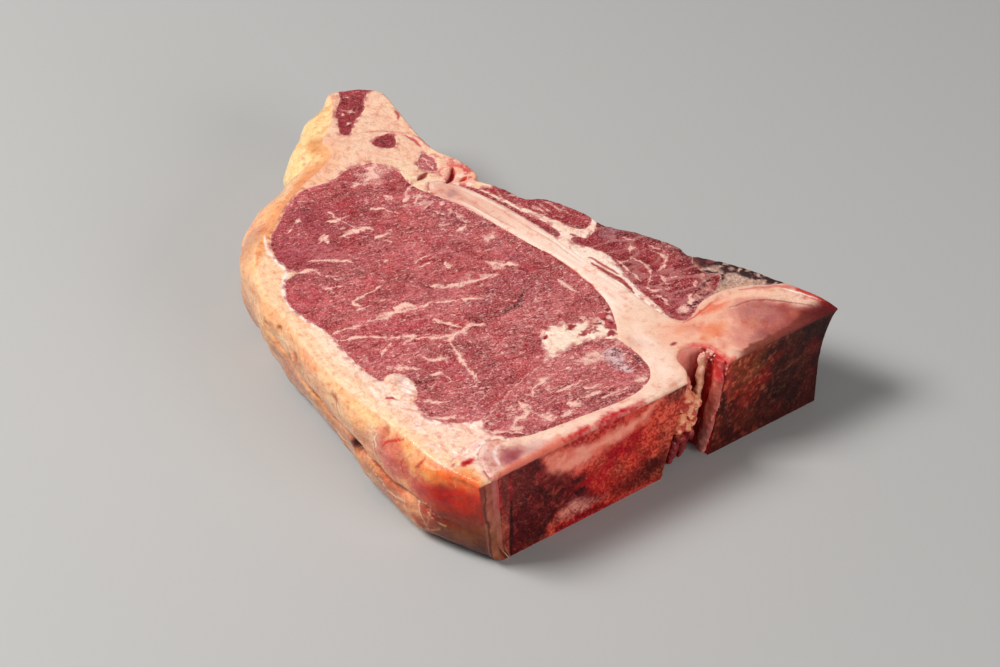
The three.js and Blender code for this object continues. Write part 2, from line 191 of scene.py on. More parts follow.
# How the noise is scattered from cell to cell, and how its octaves add up.
SCATTER = (73856093, 19349663, 83492791)
SEED_SCATTER = 40503
FIRST_STIR = 1274126177
SECOND_STIR = 668265263
OCTAVE_SHIFT = 31.7
OCTAVE_WEIGHT = 0.55
NOISE_GAIN = 1.6

# ----------------------------------------------------------------------------------------------
# Small numeric tools
# ----------------------------------------------------------------------------------------------


def smooth(value, low, high):
    """0 below low, 1 above high, and an even rise between them."""
    share = np.clip((value - low) / (high - low), 0, 1)
    return share * share * (3 - 2 * share)


def noise(points, size, seed, octaves=3):
    """Smooth noise from -1 to 1 whose largest features measure size."""
    points = np.asarray(points, float)
    if points.shape[1] == 2:
        points = np.column_stack([points, np.zeros(len(points))])
    total = np.zeros(len(points))
    weight = 1.0
    weights = 0.0
    for octave in range(octaves):
        place = points * (2.0 ** octave / size) + OCTAVE_SHIFT * (seed + octave)
        cell = np.floor(place).astype(np.int64)
        part = place - cell
        part = part * part * (3 - 2 * part)
        for corner in itertools.product((0, 1), repeat=3):
            share = np.prod(np.where(corner, part, 1 - part), axis=1)
            key = cell + corner
            mixed = key[:, 0] * SCATTER[0] ^ key[:, 1] * SCATTER[1] ^ key[:, 2] * SCATTER[2]
            mixed = (mixed ^ (seed + octave) * SEED_SCATTER) * FIRST_STIR
            mixed = (mixed ^ (mixed >> 15)) * SECOND_STIR
            total += weight * share * (((mixed >> 16) & 65535) / 32767.5 - 1)
        weights += weight
        weight *= OCTAVE_WEIGHT
    return total / weights * NOISE_GAIN


def noise_over(first, second, size, seed, octaves=3):
    """Noise over two values, such as places drawn out along one way."""
    return noise(np.column_stack([first, second]), size, seed, octaves)


def spline(points, closed, step):
    """Even samples along a smooth curve; the last point of an open curve is left out."""
    points = np.asarray(points, float)
    count = len(points)
    spans = np.arange(count if closed else count - 1)[:, None] + np.arange(-1, 3)
    spans = spans % count if closed else np.clip(spans, 0, count - 1)
    before, start, end, after = np.moveaxis(points[spans], 1, 0)
    leave = (end - before) / 2
    arrive = (after - start) / 2
    share = (np.arange(SPLINE_STEPS) / SPLINE_STEPS)[:, None, None]
    curve = start + leave * share
    curve = curve + (3 * (end - start) - 2 * leave - arrive) * share ** 2
    curve = curve + (2 * (start - end) + leave + arrive) * share ** 3
    fine = curve.transpose(1, 0, 2).reshape(-1, points.shape[1])
    fine = np.vstack([fine, points[:1] if closed else points[-1:]])
    steps = np.linalg.norm(np.diff(fine[:, :2], axis=0), axis=1)
    length = np.concatenate([[0], np.cumsum(steps)])
    samples = max(round(length[-1] / step), 2)
    places = np.linspace(0, length[-1], samples + 1)[:-1]
    return np.stack([np.interp(places, length, column) for column in fine.T], axis=1)


def curved(path):
    """A drawn path's points, on a smooth curve where there are more than two."""
    path = np.array(path, float)
    if len(path) > 2:
        path = np.vstack([spline(path, False, CURVE_STEP), path[-1:]])
    return path


def taper(share, end, power):
    """How thick a line is at a share of its length: 1 in the middle and less at its ends."""
    return np.sin(math.pi * np.clip(share, end, 1 - end)) ** power


def turned(x, y, turn):
    """Places turned about the origin, counter-clockwise."""
    return x * np.cos(turn) - y * np.sin(turn), x * np.sin(turn) + y * np.cos(turn)


def edge_normals(outline):
    """Outward unit normals of a counter-clockwise outline."""
    arriving = outline - np.roll(outline, 1, axis=0)
    leaving = np.roll(outline, -1, axis=0) - outline
    arriving /= np.linalg.norm(arriving, axis=1)[:, None]
    leaving /= np.linalg.norm(leaving, axis=1)[:, None]
    along = arriving + leaving
    along /= np.linalg.norm(along, axis=1)[:, None]
    return np.stack([along[:, 1], -along[:, 0]], axis=1)


def inside(points, outline):
    """Which points lie inside a closed outline."""
    order = np.argsort(points[:, 1], kind="stable")
    xs = points[order, 0]
    ys = points[order, 1]
    odd = np.zeros(len(points), bool)
    for (x0, y0), (x1, y1) in zip(outline, np.roll(outline, -1, axis=0)):
        if y0 == y1:
            continue
        low, high = np.searchsorted(ys, (min(y0, y1), max(y0, y1)))
        crossing = x0 + (ys[low:high] - y0) * (x1 - x0) / (y1 - y0)
        odd[low:high] ^= xs[low:high] < crossing
    result = np.empty_like(odd)
    result[order] = odd
    return result


def to_path(points, path):
    """Distance from each point to a path, and the share of the path at its nearest place."""
    path = np.asarray(path, float)
    nearest = np.full(len(points), 1e9)
    share = np.zeros(len(points))
    for i in range(len(path) - 1):
        along = path[i + 1] - path[i]
        place = np.clip((points - path[i]) @ along / max(along @ along, 1e-12), 0, 1)
        away = np.linalg.norm(points - path[i] - place[:, None] * along, axis=1)
        closer = away < nearest
        nearest = np.where(closer, away, nearest)
        share = np.where(closer, (i + place) / (len(path) - 1), share)
    return nearest, share


def within_reach(points, path, reach):
    """The numbers of the points that lie within reach of a path's box."""
    close = (points > path.min(axis=0) - reach) & (points < path.max(axis=0) + reach)
    return np.flatnonzero(close.all(axis=1))


def nearest_samples(points, samples):
    """Index of the nearest sample and the distance to it, for each point."""
    tree = KDTree(len(samples))
    for i, (x, y) in enumerate(samples.tolist()):
        tree.insert((x, y, 0.0), i)
    tree.balance()
    found = [tree.find((x, y, 0.0))[1:] for x, y in points.tolist()]
    return np.array([f[0] for f in found]), np.array([f[1] for f in found])


# ----------------------------------------------------------------------------------------------
# The outer edge and how it carries down
# ----------------------------------------------------------------------------------------------


def make_outer():
    """The outer edge's samples: place, wall values, normal, way round it and if it is sawn."""
    samples = np.vstack([spline(run, False, TOP_STEP) for run in RUNS])
    place = samples[:, :2].copy()
    wall = samples[:, 2:].copy()
    sawn = np.abs(place[:, 1]) < 1e-9
    normal = edge_normals(place)
    normal[sawn] = np.where(place[sawn, :1] < CANAL_LEFT, [[-1.0, 0.0]], [[1.0, 0.0]])
    wall[sawn, :3] = 0
    for corner in (FRONT_LEFT, BODY_CORNER):
        away = np.abs(place[:, 0] - corner[0])
        hold = np.clip(1 - away / WALL_REACH, 0, 1) ** 1.5
        wall[sawn, :3] += np.array(corner[2:5])[None, :] * hold[sawn, None]
    steps = np.linalg.norm(np.roll(place, -1, axis=0) - place, axis=1)
    around = np.concatenate([[0], np.cumsum(steps)[:-1]])
    around = around.max() + steps[-1] - around
    around[0] = 0
    return place, wall, normal, around, sawn


OUTER, OUTER_WALL, OUTER_NORMAL, OUTER_RUN, OUTER_SAWN = make_outer()
# OUTER_RUN grows from 0 at the front left corner up the fat side to the tail, and on round.
FAT_RUN = OUTER_RUN[np.argmin(np.linalg.norm(OUTER - np.array(TAIL_TIP[:2]), axis=1))]


def slant_at(plan):
    """The shift of the lower face below plan points."""
    apart = ((plan[:, None, :] - SLANT[None, :, :2]) ** 2).sum(axis=2)
    weight = 1 / (apart + SLANT_SOFTNESS) ** 2
    shift = weight @ SLANT[:, 2:] / weight.sum(axis=1)[:, None]
    shift[:, 1] *= np.clip(plan[:, 1] / SAWN_FACE_FADE, 0, 1)
    return shift


class Plan:
    """Points on the upper cut face with what the nearest outer edge does to them below."""

    def __init__(self, points):
        self.points = points
        index, self.margin = nearest_samples(points, OUTER)
        for step in (-1, 1):
            other = (index + step) % len(OUTER)
            along = OUTER[other] - OUTER[index]
            share = ((points - OUTER[index]) * along).sum(axis=1) / (along ** 2).sum(axis=1)
            share = np.clip(share, 0, 1)[:, None]
            away = np.linalg.norm(points - OUTER[index] - share * along, axis=1)
            self.margin = np.minimum(self.margin, away)
        self.wall = OUTER_WALL[index]
        self.normal = OUTER_NORMAL[index]
        self.run = OUTER_RUN[index]
        self.sawn = OUTER_SAWN[index]
        self.hold = np.clip(1 - self.margin / WALL_REACH, 0, 1) ** 1.5
        self.slant = slant_at(points)

    def at_depth(self, depth, rows=slice(None)):
        """Where the points lie at a depth from 0, the upper face, to 1, the lower one."""
        belly, foot, edge = self.wall[rows, :3].T
        swell = np.sin(np.pi * depth ** 0.66)
        tuck = depth * depth * (3 - 2 * depth)
        turn = max(0.0, (depth - 0.8) / 0.2)
        offset = belly * swell + foot * tuck - edge * (1 - math.sqrt(max(0.0, 1 - turn * turn)))
        offset = (offset * self.hold[rows])[:, None]
        return self.points[rows] + depth * self.slant[rows] + offset * self.normal[rows]


# ----------------------------------------------------------------------------------------------
# Tissue outlines, in the order in which they claim their room
# ----------------------------------------------------------------------------------------------


def area_of(outline):
    """The area that an outline goes round counter-clockwise."""
    x, y = outline.T
    return 0.5 * np.sum(x * np.roll(y, -1) - y * np.roll(x, -1))


def ragged(points, wander, seed):
    """A closed tissue outline with a slightly uneven edge."""
    outline = spline(points, True, TOP_STEP)
    if area_of(outline) < 0:
        outline = outline[::-1].copy()
    shift = wander * noise(outline, 3.0, seed)
    return outline + shift[:, None] * edge_normals(outline)


def oval_outline(centre, across, along, turn):
    """An oval's points, counter-clockwise."""
    angles = np.linspace(0, 2 * math.pi, 16, endpoint=False)
    oval = turned(across * np.cos(angles), along * np.sin(angles), turn)
    return np.array(centre) + np.stack(oval, axis=1)


TENDON = oval_outline(TENDON_CENTRE, TENDON_ACROSS, TENDON_ALONG, TENDON_TURN)
# The tissues in the order in which they claim their room: [name, outline, unevenness of the
# outline, how high it stands on the cut face, how rough it is, material slot].
TISSUES = [
    ["t_bone", T_BONE, 0.15, 0.12, 0.04, "bone"],
    ["backstrap", BACKSTRAP, 0.15, 0.05, 0.05, "sinew"],
    ["tendon", TENDON, 0.15, 0.15, 0.05, "sinew"],
    ["tenderloin", TENDERLOIN, 0.4, -0.15, 0.16, "lean"],
    ["kidney_fat", KIDNEY_FAT, 0.3, 0.1, 0.2, "dried_fat"],
    ["strip_loin", STRIP_LOIN, 0.4, -0.12, 0.15, "lean"],
    ["chine_muscle", CHINE_MUSCLE, 0.5, -0.15, 0.17, "lean"],
    ["fat_wedge", FAT_WEDGE, 0.4, 0.1, 0.08, "fat"],
    ["stem_lean", STEM_LEAN, 0.3, -0.35, 0.12, "lean"],
    ["side_lean", SIDE_LEAN, 0.4, -0.15, 0.16, "lean"],
    ["tail_lean_tip", TAIL_LEAN_TIP, 0.35, -0.3, 0.12, "lean"],
    ["tail_lean_middle", TAIL_LEAN_MIDDLE, 0.25, -0.2, 0.1, "lean"],
    ["tail_lean_fold", TAIL_LEAN_FOLD, 0.25, -0.2, 0.14, "lean"],
    # The fat cap has no outline: it takes what is left.
    ["fat_cap", None, 0, 0.05, 0.07, "fat"],
]
NAMES, DRAWN, UNEVEN, LEVELS, ROUGH, SLOTS = zip(*TISSUES)
TISSUE_OUTLINES = [ragged(DRAWN[i], UNEVEN[i], i + 1) for i in range(len(TISSUES) - 1)]
REST = len(TISSUE_OUTLINES)    # the label of the fat cap
OUTSIDE = -1


def label(points):
    """Which tissue each point belongs to."""
    labels = np.full(len(points), REST)
    free = inside(points, OUTER)
    labels[~free] = OUTSIDE
    for number, outline in enumerate(TISSUE_OUTLINES):
        claimed = free & inside(points, outline)
        labels[claimed] = number
        free &= ~claimed
    return labels


def sorted_faces(faces, places):
    """The faces that lie inside, counter-clockwise from above, and each one's tissue."""
    corners = places[faces]
    first = corners[:, 1] - corners[:, 0]
    second = corners[:, 2] - corners[:, 0]
    turn = first[:, 0] * second[:, 1] - first[:, 1] * second[:, 0]
    faces = np.where(turn[:, None] < 0, faces[:, ::-1], faces)
    labels = label(corners.mean(axis=1))
    labels[np.abs(turn) < SLIVER] = OUTSIDE
    return faces[labels != OUTSIDE], labels[labels != OUTSIDE]


def renumbered(faces):
    """The points that the faces use, and the faces numbered by that list."""
    used, faces = np.unique(faces, return_inverse=True)
    return used, faces.reshape(-1, 3)


def lattice(step, drawn, clear):
    """An even triangular lattice over the steak, clear steps away from what is drawn."""
    low = OUTER.min(axis=0)
    high = OUTER.max(axis=0)
    xs = np.arange(low[0], high[0], step)
    ys = np.arange(low[1], high[1], step * math.sqrt(0.75))
    grid = np.stack(np.meshgrid(xs, ys), axis=2)
    grid[1::2, :, 0] += step / 2
    grid = grid.reshape(-1, 2)
    grid = grid[inside(grid, OUTER)]
    _, away = nearest_samples(grid, drawn)
    return grid[away > clear * step]


def ring_edges(count, start):
    """The edges of a closed ring of points numbered from start."""
    return [(start + i, start + (i + 1) % count) for i in range(count)]


def edge_keys(edges):
    """One number for each directed edge."""
    return edges[:, 0] * KEY_STEP + edges[:, 1]


def open_edges(faces):
    """Directed edges of the faces that no other of them shares, with the faces on the left."""
    edges = np.concatenate([faces[:, [0, 1]], faces[:, [1, 2]], faces[:, [2, 0]]])
    return edges[~np.isin(edge_keys(edges), edge_keys(edges[:, ::-1]))]


# The upper face: all outlines and a fine lattice between them.
outlines = [OUTER, *TISSUE_OUTLINES]
drawn = np.vstack(outlines)
drawn_edges = []
for ring in outlines:
    drawn_edges += ring_edges(len(ring), len(drawn_edges))
grid = lattice(TOP_STEP, drawn, TOP_CLEAR)
made = delaunay_2d_cdt([Vector(p) for p in np.vstack([drawn, grid]).tolist()], drawn_edges, [],
                       0, TOP_MERGE, False)
places = np.array([tuple(v) for v in made[0]])
top_faces, top_labels = sorted_faces(np.array([f for f in made[2] if len(f) == 3]), places)
used, top_faces = renumbered(top_faces)
top = Plan(places[used])
TOP_COUNT = len(used)

# Where tissues meet each other, and where they meet the outside.
tissue_edges = [open_edges(top_faces[top_labels == number]) for number in range(REST + 1)]
outer_edges = open_edges(top_faces)
is_outer = np.zeros(TOP_COUNT, bool)
is_outer[outer_edges] = True
all_edges = np.concatenate(tissue_edges)
border = np.unique(all_edges)
is_seam = np.zeros(TOP_COUNT, bool)
is_seam[all_edges[~np.isin(edge_keys(all_edges), edge_keys(outer_edges))]] = True
seam_points = top.points[is_seam]
print("top", TOP_COUNT, "points", len(top_faces), "faces", len(border), "border")

# The lower face: the same borders with a coarser lattice.
seams = top.points[border]
floor_input = np.vstack([seams, lattice(FLOOR_STEP, seams, FLOOR_CLEAR)])
number_of = np.full(TOP_COUNT, -1)
number_of[border] = np.arange(len(border))
undirected = np.unique(np.sort(number_of[all_edges], axis=1), axis=0)
made = delaunay_2d_cdt([Vector(p) for p in floor_input.tolist()],
                       [tuple(e) for e in undirected.tolist()], [], 0, FLOOR_MERGE, True)
origin = np.array([ids[0] if ids else -1 for ids in made[3]])
floor_faces = origin[np.array([f for f in made[2] if len(f) == 3])]
floor_faces, floor_labels = sorted_faces(floor_faces, floor_input)
floor = Plan(floor_input)

# ----------------------------------------------------------------------------------------------
# Relief
# ----------------------------------------------------------------------------------------------

HIGHEST = 0.9                  # how far the relief may stand above the cut face
GROOVE_REACH = 4.0

# Grooves in the upper face: [half width, depth, path]; a negative depth is a ridge.
EYE_CRACK = [0.5, 0.7, [[41, 63], [46, 63.5], [50, 64.5], [54, 67.5], [56, 70]]]
STEM_END_GROOVES = [
    [1.1, 2.2, [[69, 134], [71.5, 135], [74, 137.5], [76, 140]]],
    [1.0, 0.8, [[61.5, 141.2], [63.5, 141.8], [65.5, 142.4]]],
    [0.9, 1.0, [[73.5, 131.6], [76.5, 132.4]]],
]
GROOVES = [
    EYE_CRACK,
    [0.35, 0.25, [[-10, 87.5], [-5, 87], [0, 86], [10, 85], [20, 83], [30, 79.5], [43, 73]]],
    [0.3, 0.3, [[5, 20], [20, 30], [39, 35]]],
    *STEM_END_GROOVES,
    [0.7, 0.8, [[45.8, 44.4], [47.4, 45.4]]],
    [0.5, 0.6, [[82.4, 66], [84, 58], [85, 52], [84, 47]]],
    [0.5, 0.5, [[-11, 49], [-6, 44], [-3, 42]]],
    [0.5, 0.5, [[-9.5, 10.4], [-7.6, 10.6]]],
    [0.6, 0.4, [[73, 167], [74, 161], [73.5, 156]]],
    [0.45, -0.2, [[-3.2, 143], [-3.9, 133], [-4, 124], [-7.5, 120.4], [-12, 113], [-13.4, 104],
                  [-12.4, 95]]],
]


def grooves(points):
    """How deep the grooves are at points of the upper face."""
    depth = np.zeros(len(points))
    for half, down, path in GROOVES:
        path = np.array(path, float)
        near = within_reach(points, path, GROOVE_REACH)
        away, share = to_path(points[near], path)
        thick = taper(share, 0.06, 0.5)
        depth[near] += down * thick * np.exp(-((away / (half * (0.4 + 0.6 * thick))) ** 2))
    return depth


point_label = np.zeros(TOP_COUNT, int)
for corner in range(3):
    point_label[top_faces[:, corner]] = top_labels
_, seam = nearest_samples(top.points, seam_points)
_, floor_seam = nearest_samples(floor.points, seam_points)
level = np.array(LEVELS)[point_label]
rough = np.array(ROUGH)[point_label]
away = smooth(seam, 0, 1.4)
# Broad waves, the grain, lumps, the seams, the grooves and the rounded rim.
top_height = THICKNESS + level * away + 0.22 * noise(top.points, 24, 21, 2)
top_height += rough * (0.25 + 0.75 * away) * noise(top.points, 1.7, 22, 2)
top_height += 0.8 * rough * noise(top.points, 5.5, 23, 2)
top_height -= 0.10 * np.exp(-((seam / 0.35) ** 2))
top_height -= grooves(top.points)
rim = top.wall[:, 3]
over_rim = np.clip(rim - top.margin, 0, None)
top_height -= rim - np.sqrt(np.maximum(rim ** 2 - over_rim ** 2, 0))
top_height = np.minimum(top_height, THICKNESS + HIGHEST)

# The fat side is two rolls of fat, one above the other: [run, height of the crease].
CREASE = [[0, 13], [14, 15], [26, 18], [36, 15.4], [42, 15.4], [52, 18.5], [58, 16.5], [62, 19],
          [75, 15.5], [85, 18], [94, 21], [99, 21], [108, 24], [116, 27], [123, 33], [128, 38]]
# How deep the crease is: runs, and the depth at each.
CREASE_DEPTHS = [[0, 14, 26, 34, 42, 48, 54, 62, 75, 94, 116, 128],
                 [0.2, 0.3, 0.6, 1.4, 1.5, 1.0, 1.8, 1.1, 0.8, 0.9, 0.8, 0.5]]
# Pits in the fat side: [run, height, radius, depth].
PITS = [[57, 17, 3.2, 2.6], [53.5, 19.5, 2.0, 1.2], [105, 34, 1.2, 0.9], [113, 31, 1.4, 0.8],
        [93, 31, 1.6, 0.8], [97, 27, 1.4, 0.9], [84, 27, 1.3, 0.6], [66, 33, 2.2, 0.6],
        [40, 36, 1.3, 0.5], [212, 34, 3.0, 2.0]]
# Where the fat side stands out further or less far: [run, height, along, tall, how far].
SWELLS = [[136, 18, 12, 16, -2.4], [152, 24, 10, 10, -2.2], [118, 8, 9, 8, -1.0],
          [232, 36, 9, 8, 3.4], [216, 36, 6, 6, 1.5], [182, 34, 6, 6, -0.8], [14, 12, 5, 6, 0.5],
          [26, 5, 9, 6, 2.0]]


def wall_relief(run, height, where):
    """How far the outer wall stands out, from unevenness and folds."""
    fold = np.interp(run, *zip(*CREASE))
    there = smooth(run, 3, 14) * (1 - smooth(run, 116, 128))
    down = height - fold
    depth = np.interp(run, *CREASE_DEPTHS)
    relief = -depth * np.exp(-((down / 1.5) ** 2)) * there
    upper = np.clip(down / np.maximum(THICKNESS - fold, 1), 0, 1)
    lower = np.clip(-down / np.maximum(fold, 1), 0, 1)
    relief += (0.5 + 0.5 * depth) * np.sin(math.pi * upper) * there
    relief += (0.3 + 0.35 * depth) * np.sin(math.pi * lower) * there
    for at, up, radius, deep in PITS:
        apart = ((run - at) ** 2 + (height - up) ** 2) / radius ** 2
        relief -= deep * np.exp(-apart)
    for at, up, along, tall, out in SWELLS:
        relief += out * np.exp(-((run - at) / along) ** 2 - ((height - up) / tall) ** 2)
    fat = smooth(run, 1, 8) * (1 - smooth(run, FAT_RUN - 8, FAT_RUN))
    lumps = 0.9 * noise(where, 15, 31, 2) + 0.3 * noise(where, 4.5, 32, 2)
    dry = 0.35 * noise(where, 9, 33, 2) + 0.22 * noise(where, 2.6, 34, 3)
    return (relief + lumps) * fat + (1 - fat) * dry


# ----------------------------------------------------------------------------------------------
# All points: the upper face, the wall columns and the lower face
# ----------------------------------------------------------------------------------------------

OUTER_DEPTHS = np.concatenate([np.linspace(0, 0.965, WALL_LEVELS - 3)[1:],
                               [0.978, 0.988, 0.994, 0.998]])
INNER_DEPTHS = np.linspace(0, 1, INNER_LEVELS + 2)[1:-1]


def columns_of(rows, depths):
    """The points between the two faces below some border points, one row a column."""
    layers = [np.column_stack([top.at_depth(depth, rows), top_height[rows] * (1 - depth)])
              for depth in depths]
    return np.stack(layers, axis=1)


outer_rows = border[is_outer[border]]
inner_rows = border[~is_outer[border]]
outer_columns = columns_of(outer_rows, OUTER_DEPTHS)
inner_columns = columns_of(inner_rows, INNER_DEPTHS)
facing = np.where(top.sawn[outer_rows, None], [[0.0, -1.0]], top.normal[outer_rows])
flat = outer_columns.reshape(-1, 3)
run_flat = np.repeat(top.run[outer_rows], len(OUTER_DEPTHS))
relief = wall_relief(run_flat, flat[:, 2], flat).reshape(outer_columns.shape[:2])
sawn_relief = 0.10 * noise(flat, 1.6, 41, 3) + 0.12 * noise(flat, 9, 42, 2)
sawn_relief = sawn_relief.reshape(outer_columns.shape[:2])
relief = np.where(top.sawn[outer_rows, None], sawn_relief, relief)
height = outer_columns[:, :, 2]
relief *= smooth(height, 0, 2.0) * smooth(THICKNESS - height, 0.3, 3.5)
x, y = top.points[outer_rows].T
at_canal = (x > CANAL_LEFT - 0.5) & (x < CANAL_RIGHT + 0.5) & (y < CANAL_DEEP)
relief[at_canal] *= CANAL_RELIEF
outer_columns[:, :, :2] += relief[:, :, None] * facing[:, None, :]

bottom = np.column_stack([floor.at_depth(1.0), np.zeros(len(floor.points))])
inner_part = smooth(floor.margin, 0.5, 3)
bottom[:, 2] = inner_part * (0.12 + 0.12 * noise(floor.points, 4, 43, 2)).clip(0, 0.3)

top_points = np.column_stack([top.points, top_height])
inner_start = TOP_COUNT + len(outer_rows) * len(OUTER_DEPTHS)
floor_start = inner_start + len(inner_rows) * len(INNER_DEPTHS)
points = np.vstack([top_points, outer_columns.reshape(-1, 3), inner_columns.reshape(-1, 3),
                    bottom])


def columns_from(plan_values, floor_values):
    """One value for every point, from the values of the plan points above or below it."""
    return np.concatenate([plan_values,
                           np.repeat(plan_values[outer_rows], len(OUTER_DEPTHS), axis=0),
                           np.repeat(plan_values[inner_rows], len(INNER_DEPTHS), axis=0),
                           floor_values])


all_plan = columns_from(top.points, floor.points)
all_margin = columns_from(top.margin, floor.margin)
all_run = columns_from(top.run, floor.run)
all_seam = columns_from(seam, floor_seam)
all_sawn = columns_from(top.sawn, floor.sawn)
all_wall = np.zeros(len(points))
all_wall[TOP_COUNT:floor_start] = 1

# The numbers of the points below each border point, from the upper face to the lower one.
column_ids = {}
for rows, start, levels in ((outer_rows, TOP_COUNT, len(OUTER_DEPTHS)),
                            (inner_rows, inner_start, len(INNER_DEPTHS))):
    for row in rows.tolist():
        column_ids[row] = [row, *range(start, start + levels), floor_start + int(number_of[row])]
        start += levels


def wall_between(left, right):
    """Triangles of the wall below one border edge, between the columns of its two ends."""
    first = column_ids[left]
    second = column_ids[right]
    i = 0
    j = 0
    made = []
    while i < len(first) - 1 or j < len(second) - 1:
        if (i + 1) / (len(first) - 1) <= (j + 1) / (len(second) - 1):
            made.append((first[i], first[i + 1], second[j]))
            i += 1
        else:
            made.append((first[i], second[j + 1], second[j]))
            j += 1
    return made


def walls_below(edges):
    """Triangles of the walls below border edges."""
    return np.array([face for edge in edges.tolist() for face in wall_between(*edge)])


# ----------------------------------------------------------------------------------------------
# Painting: colours and masks at the points
# ----------------------------------------------------------------------------------------------


def linear(colour):
    """A colour written as RRGGBB, as linear light."""
    values = np.array([int(colour[i:i + 2], 16) for i in (0, 2, 4)]) / 255
    return np.where(values <= 0.04045, values / 12.92, ((values + 0.055) / 1.055) ** 2.4)


class Layers:
    """The colours and masks at the places of a mesh."""

    def __init__(self, places, base):
        self.place = places
        self.height = places[:, 2]
        self.colour = np.tile(linear(base), (len(places), 1))
        self.marble = np.zeros(len(places))
        self.fleck = np.zeros(len(places))
        self.pore = np.zeros(len(places))
        self.gloss = np.full(len(places), 0.8)
        self.made = {}

    def coat(self, amount, colour):
        """Covers the places with a colour as thickly as amount says, from 0 to 1."""
        amount = np.reshape(np.clip(amount, 0, 1), (-1, 1))
        self.colour = ((1 - amount) * np.sqrt(self.colour) + amount * np.sqrt(linear(colour))) ** 2

    def noise(self, size, seed, octaves=3):
        """Noise at the places, made once for each size and seed."""
        if (size, seed, octaves) not in self.made:
            self.made[size, seed, octaves] = noise(self.place, size, seed, octaves)
        return self.made[size, seed, octaves]

    def mottles(self, part, rows):
        """Coats of noise: [size, seed, where it starts, where it is full, strength, colour]."""
        for size, seed, low, high, strength, colour in rows:
            self.coat(part * smooth(self.noise(size, seed), low, high) * strength, colour)

    def rises(self, part, value, rows):
        """Coats that come with a value: [where it starts, where it is full, strength, colour]."""
        for low, high, strength, colour in rows:
            self.coat(part * smooth(value, low, high) * strength, colour)


class Paint(Layers):
    """A piece cut from the steak, with the coats of colour laid on its points."""

    def __init__(self, rows, base):
        super().__init__(points[rows], base)
        self.plan = all_plan[rows]
        self.face = self.place[:, [0, 2]]
        self.margin = all_margin[rows]
        self.run = all_run[rows]
        self.seam = all_seam[rows]
        self.side = np.column_stack([self.run, self.height])
        self.wall = all_wall[rows]
        self.cut = 1 - self.wall
        self.sawn = self.wall * all_sawn[rows]
        self.outside = self.wall - self.sawn

    def moved(self, where, wander, size):
        """The places pushed about by noise, so that what is drawn on them gets an uneven edge."""
        return where + wander * np.column_stack([self.noise(size, 52), self.noise(size, 53)])

    def spot(self, where, x, y, across, along, turn=0.0, soft=0.5, wander=0.0):
        """1 inside an oval, fading to 0 over its edge."""
        away_x, away_y = turned(where[:, 0] - x, where[:, 1] - y, -turn)
        away = np.sqrt((away_x / across) ** 2 + (away_y / along) ** 2)
        if wander:
            away = away + wander * self.noise(3.0 if min(across, along) > 2.5 else 1.6, 51)
        return 1 - smooth(away, 1 - soft, 1 + soft)

    def patch(self, where, outline, soft=1.0, wander=1.0, size=5.0):
        """1 inside an outline, fading to 0 over soft mm at its uneven edge."""
        outline = np.array(outline, float)
        moved = self.moved(where, wander, size)
        near = within_reach(moved, outline, soft + 0.1)
        moved = moved[near]
        away, _ = to_path(moved, np.vstack([outline, outline[:1]]))
        away = np.where(inside(moved, outline), away, -away)
        shown = np.zeros(len(where))
        shown[near] = smooth(away, -soft, soft)
        return shown

    def line(self, where, half, path, wander=0.0, size=4.0):
        """1 along a path, fading to 0 at half mm from it."""
        moved = self.moved(where, wander, size)
        path = curved(path)
        near = within_reach(moved, path, 1.3 * half)
        away, share = to_path(moved[near], path)
        thick = half * taper(share, 0.04, 0.35)
        shown = np.zeros(len(where))
        shown[near] = 1 - smooth(away, 0.35 * thick, 1.2 * thick)
        return shown

    def spots(self, where, part, rows):
        """Coats of ovals: [x, y, across, along, turn, strength, colour]."""
        for x, y, across, along, turn, strength, colour in rows:
            oval = self.spot(where, x, y, across, along, turn, 0.65, 0.45)
            self.coat(part * oval * strength, colour)

    def lines(self, where, part, rows):
        """Coats of lines: [half width, wander, strength, colour, path]."""
        for half, wander, strength, colour, path in rows:
            self.coat(part * self.line(where, half, path, wander) * strength, colour)

    def patches(self, where, part, rows):
        """Coats of patches: [softness, wander, strength, colour, outline]."""
        for soft, wander, strength, colour, outline in rows:
            self.coat(part * self.patch(where, outline, soft, wander) * strength, colour)

    def marbling(self, lines):
        """Lines of fat in the lean; the material turns the field's upper half into fat."""
        wander = np.column_stack([noise(self.plan, 2.6, seed) for seed in (56, 57)])
        moved = self.plan + 0.8 * wander
        width = np.clip(0.95 + 1.3 * noise(self.plan, 3.2, 58, 2), 0.2, 2.0)
        for half, path in lines:
            path = curved(path)
            near = within_reach(moved, path, 4 * half + 1)
            away, share = to_path(moved[near], path)
            thick = 1.6 * half * taper(share, 0.05, 0.5) * width[near]
            self.marble[near] = np.maximum(self.marble[near], np.exp(-((away / thick) ** 2)))

    def fatten(self, amount):
        """Raises the marbling to at least this much."""
        self.marble = np.maximum(self.marble, amount)


# The way that the grain of the muscles runs on the cut face, in degrees from X.
GRAIN_TURN = -15.0

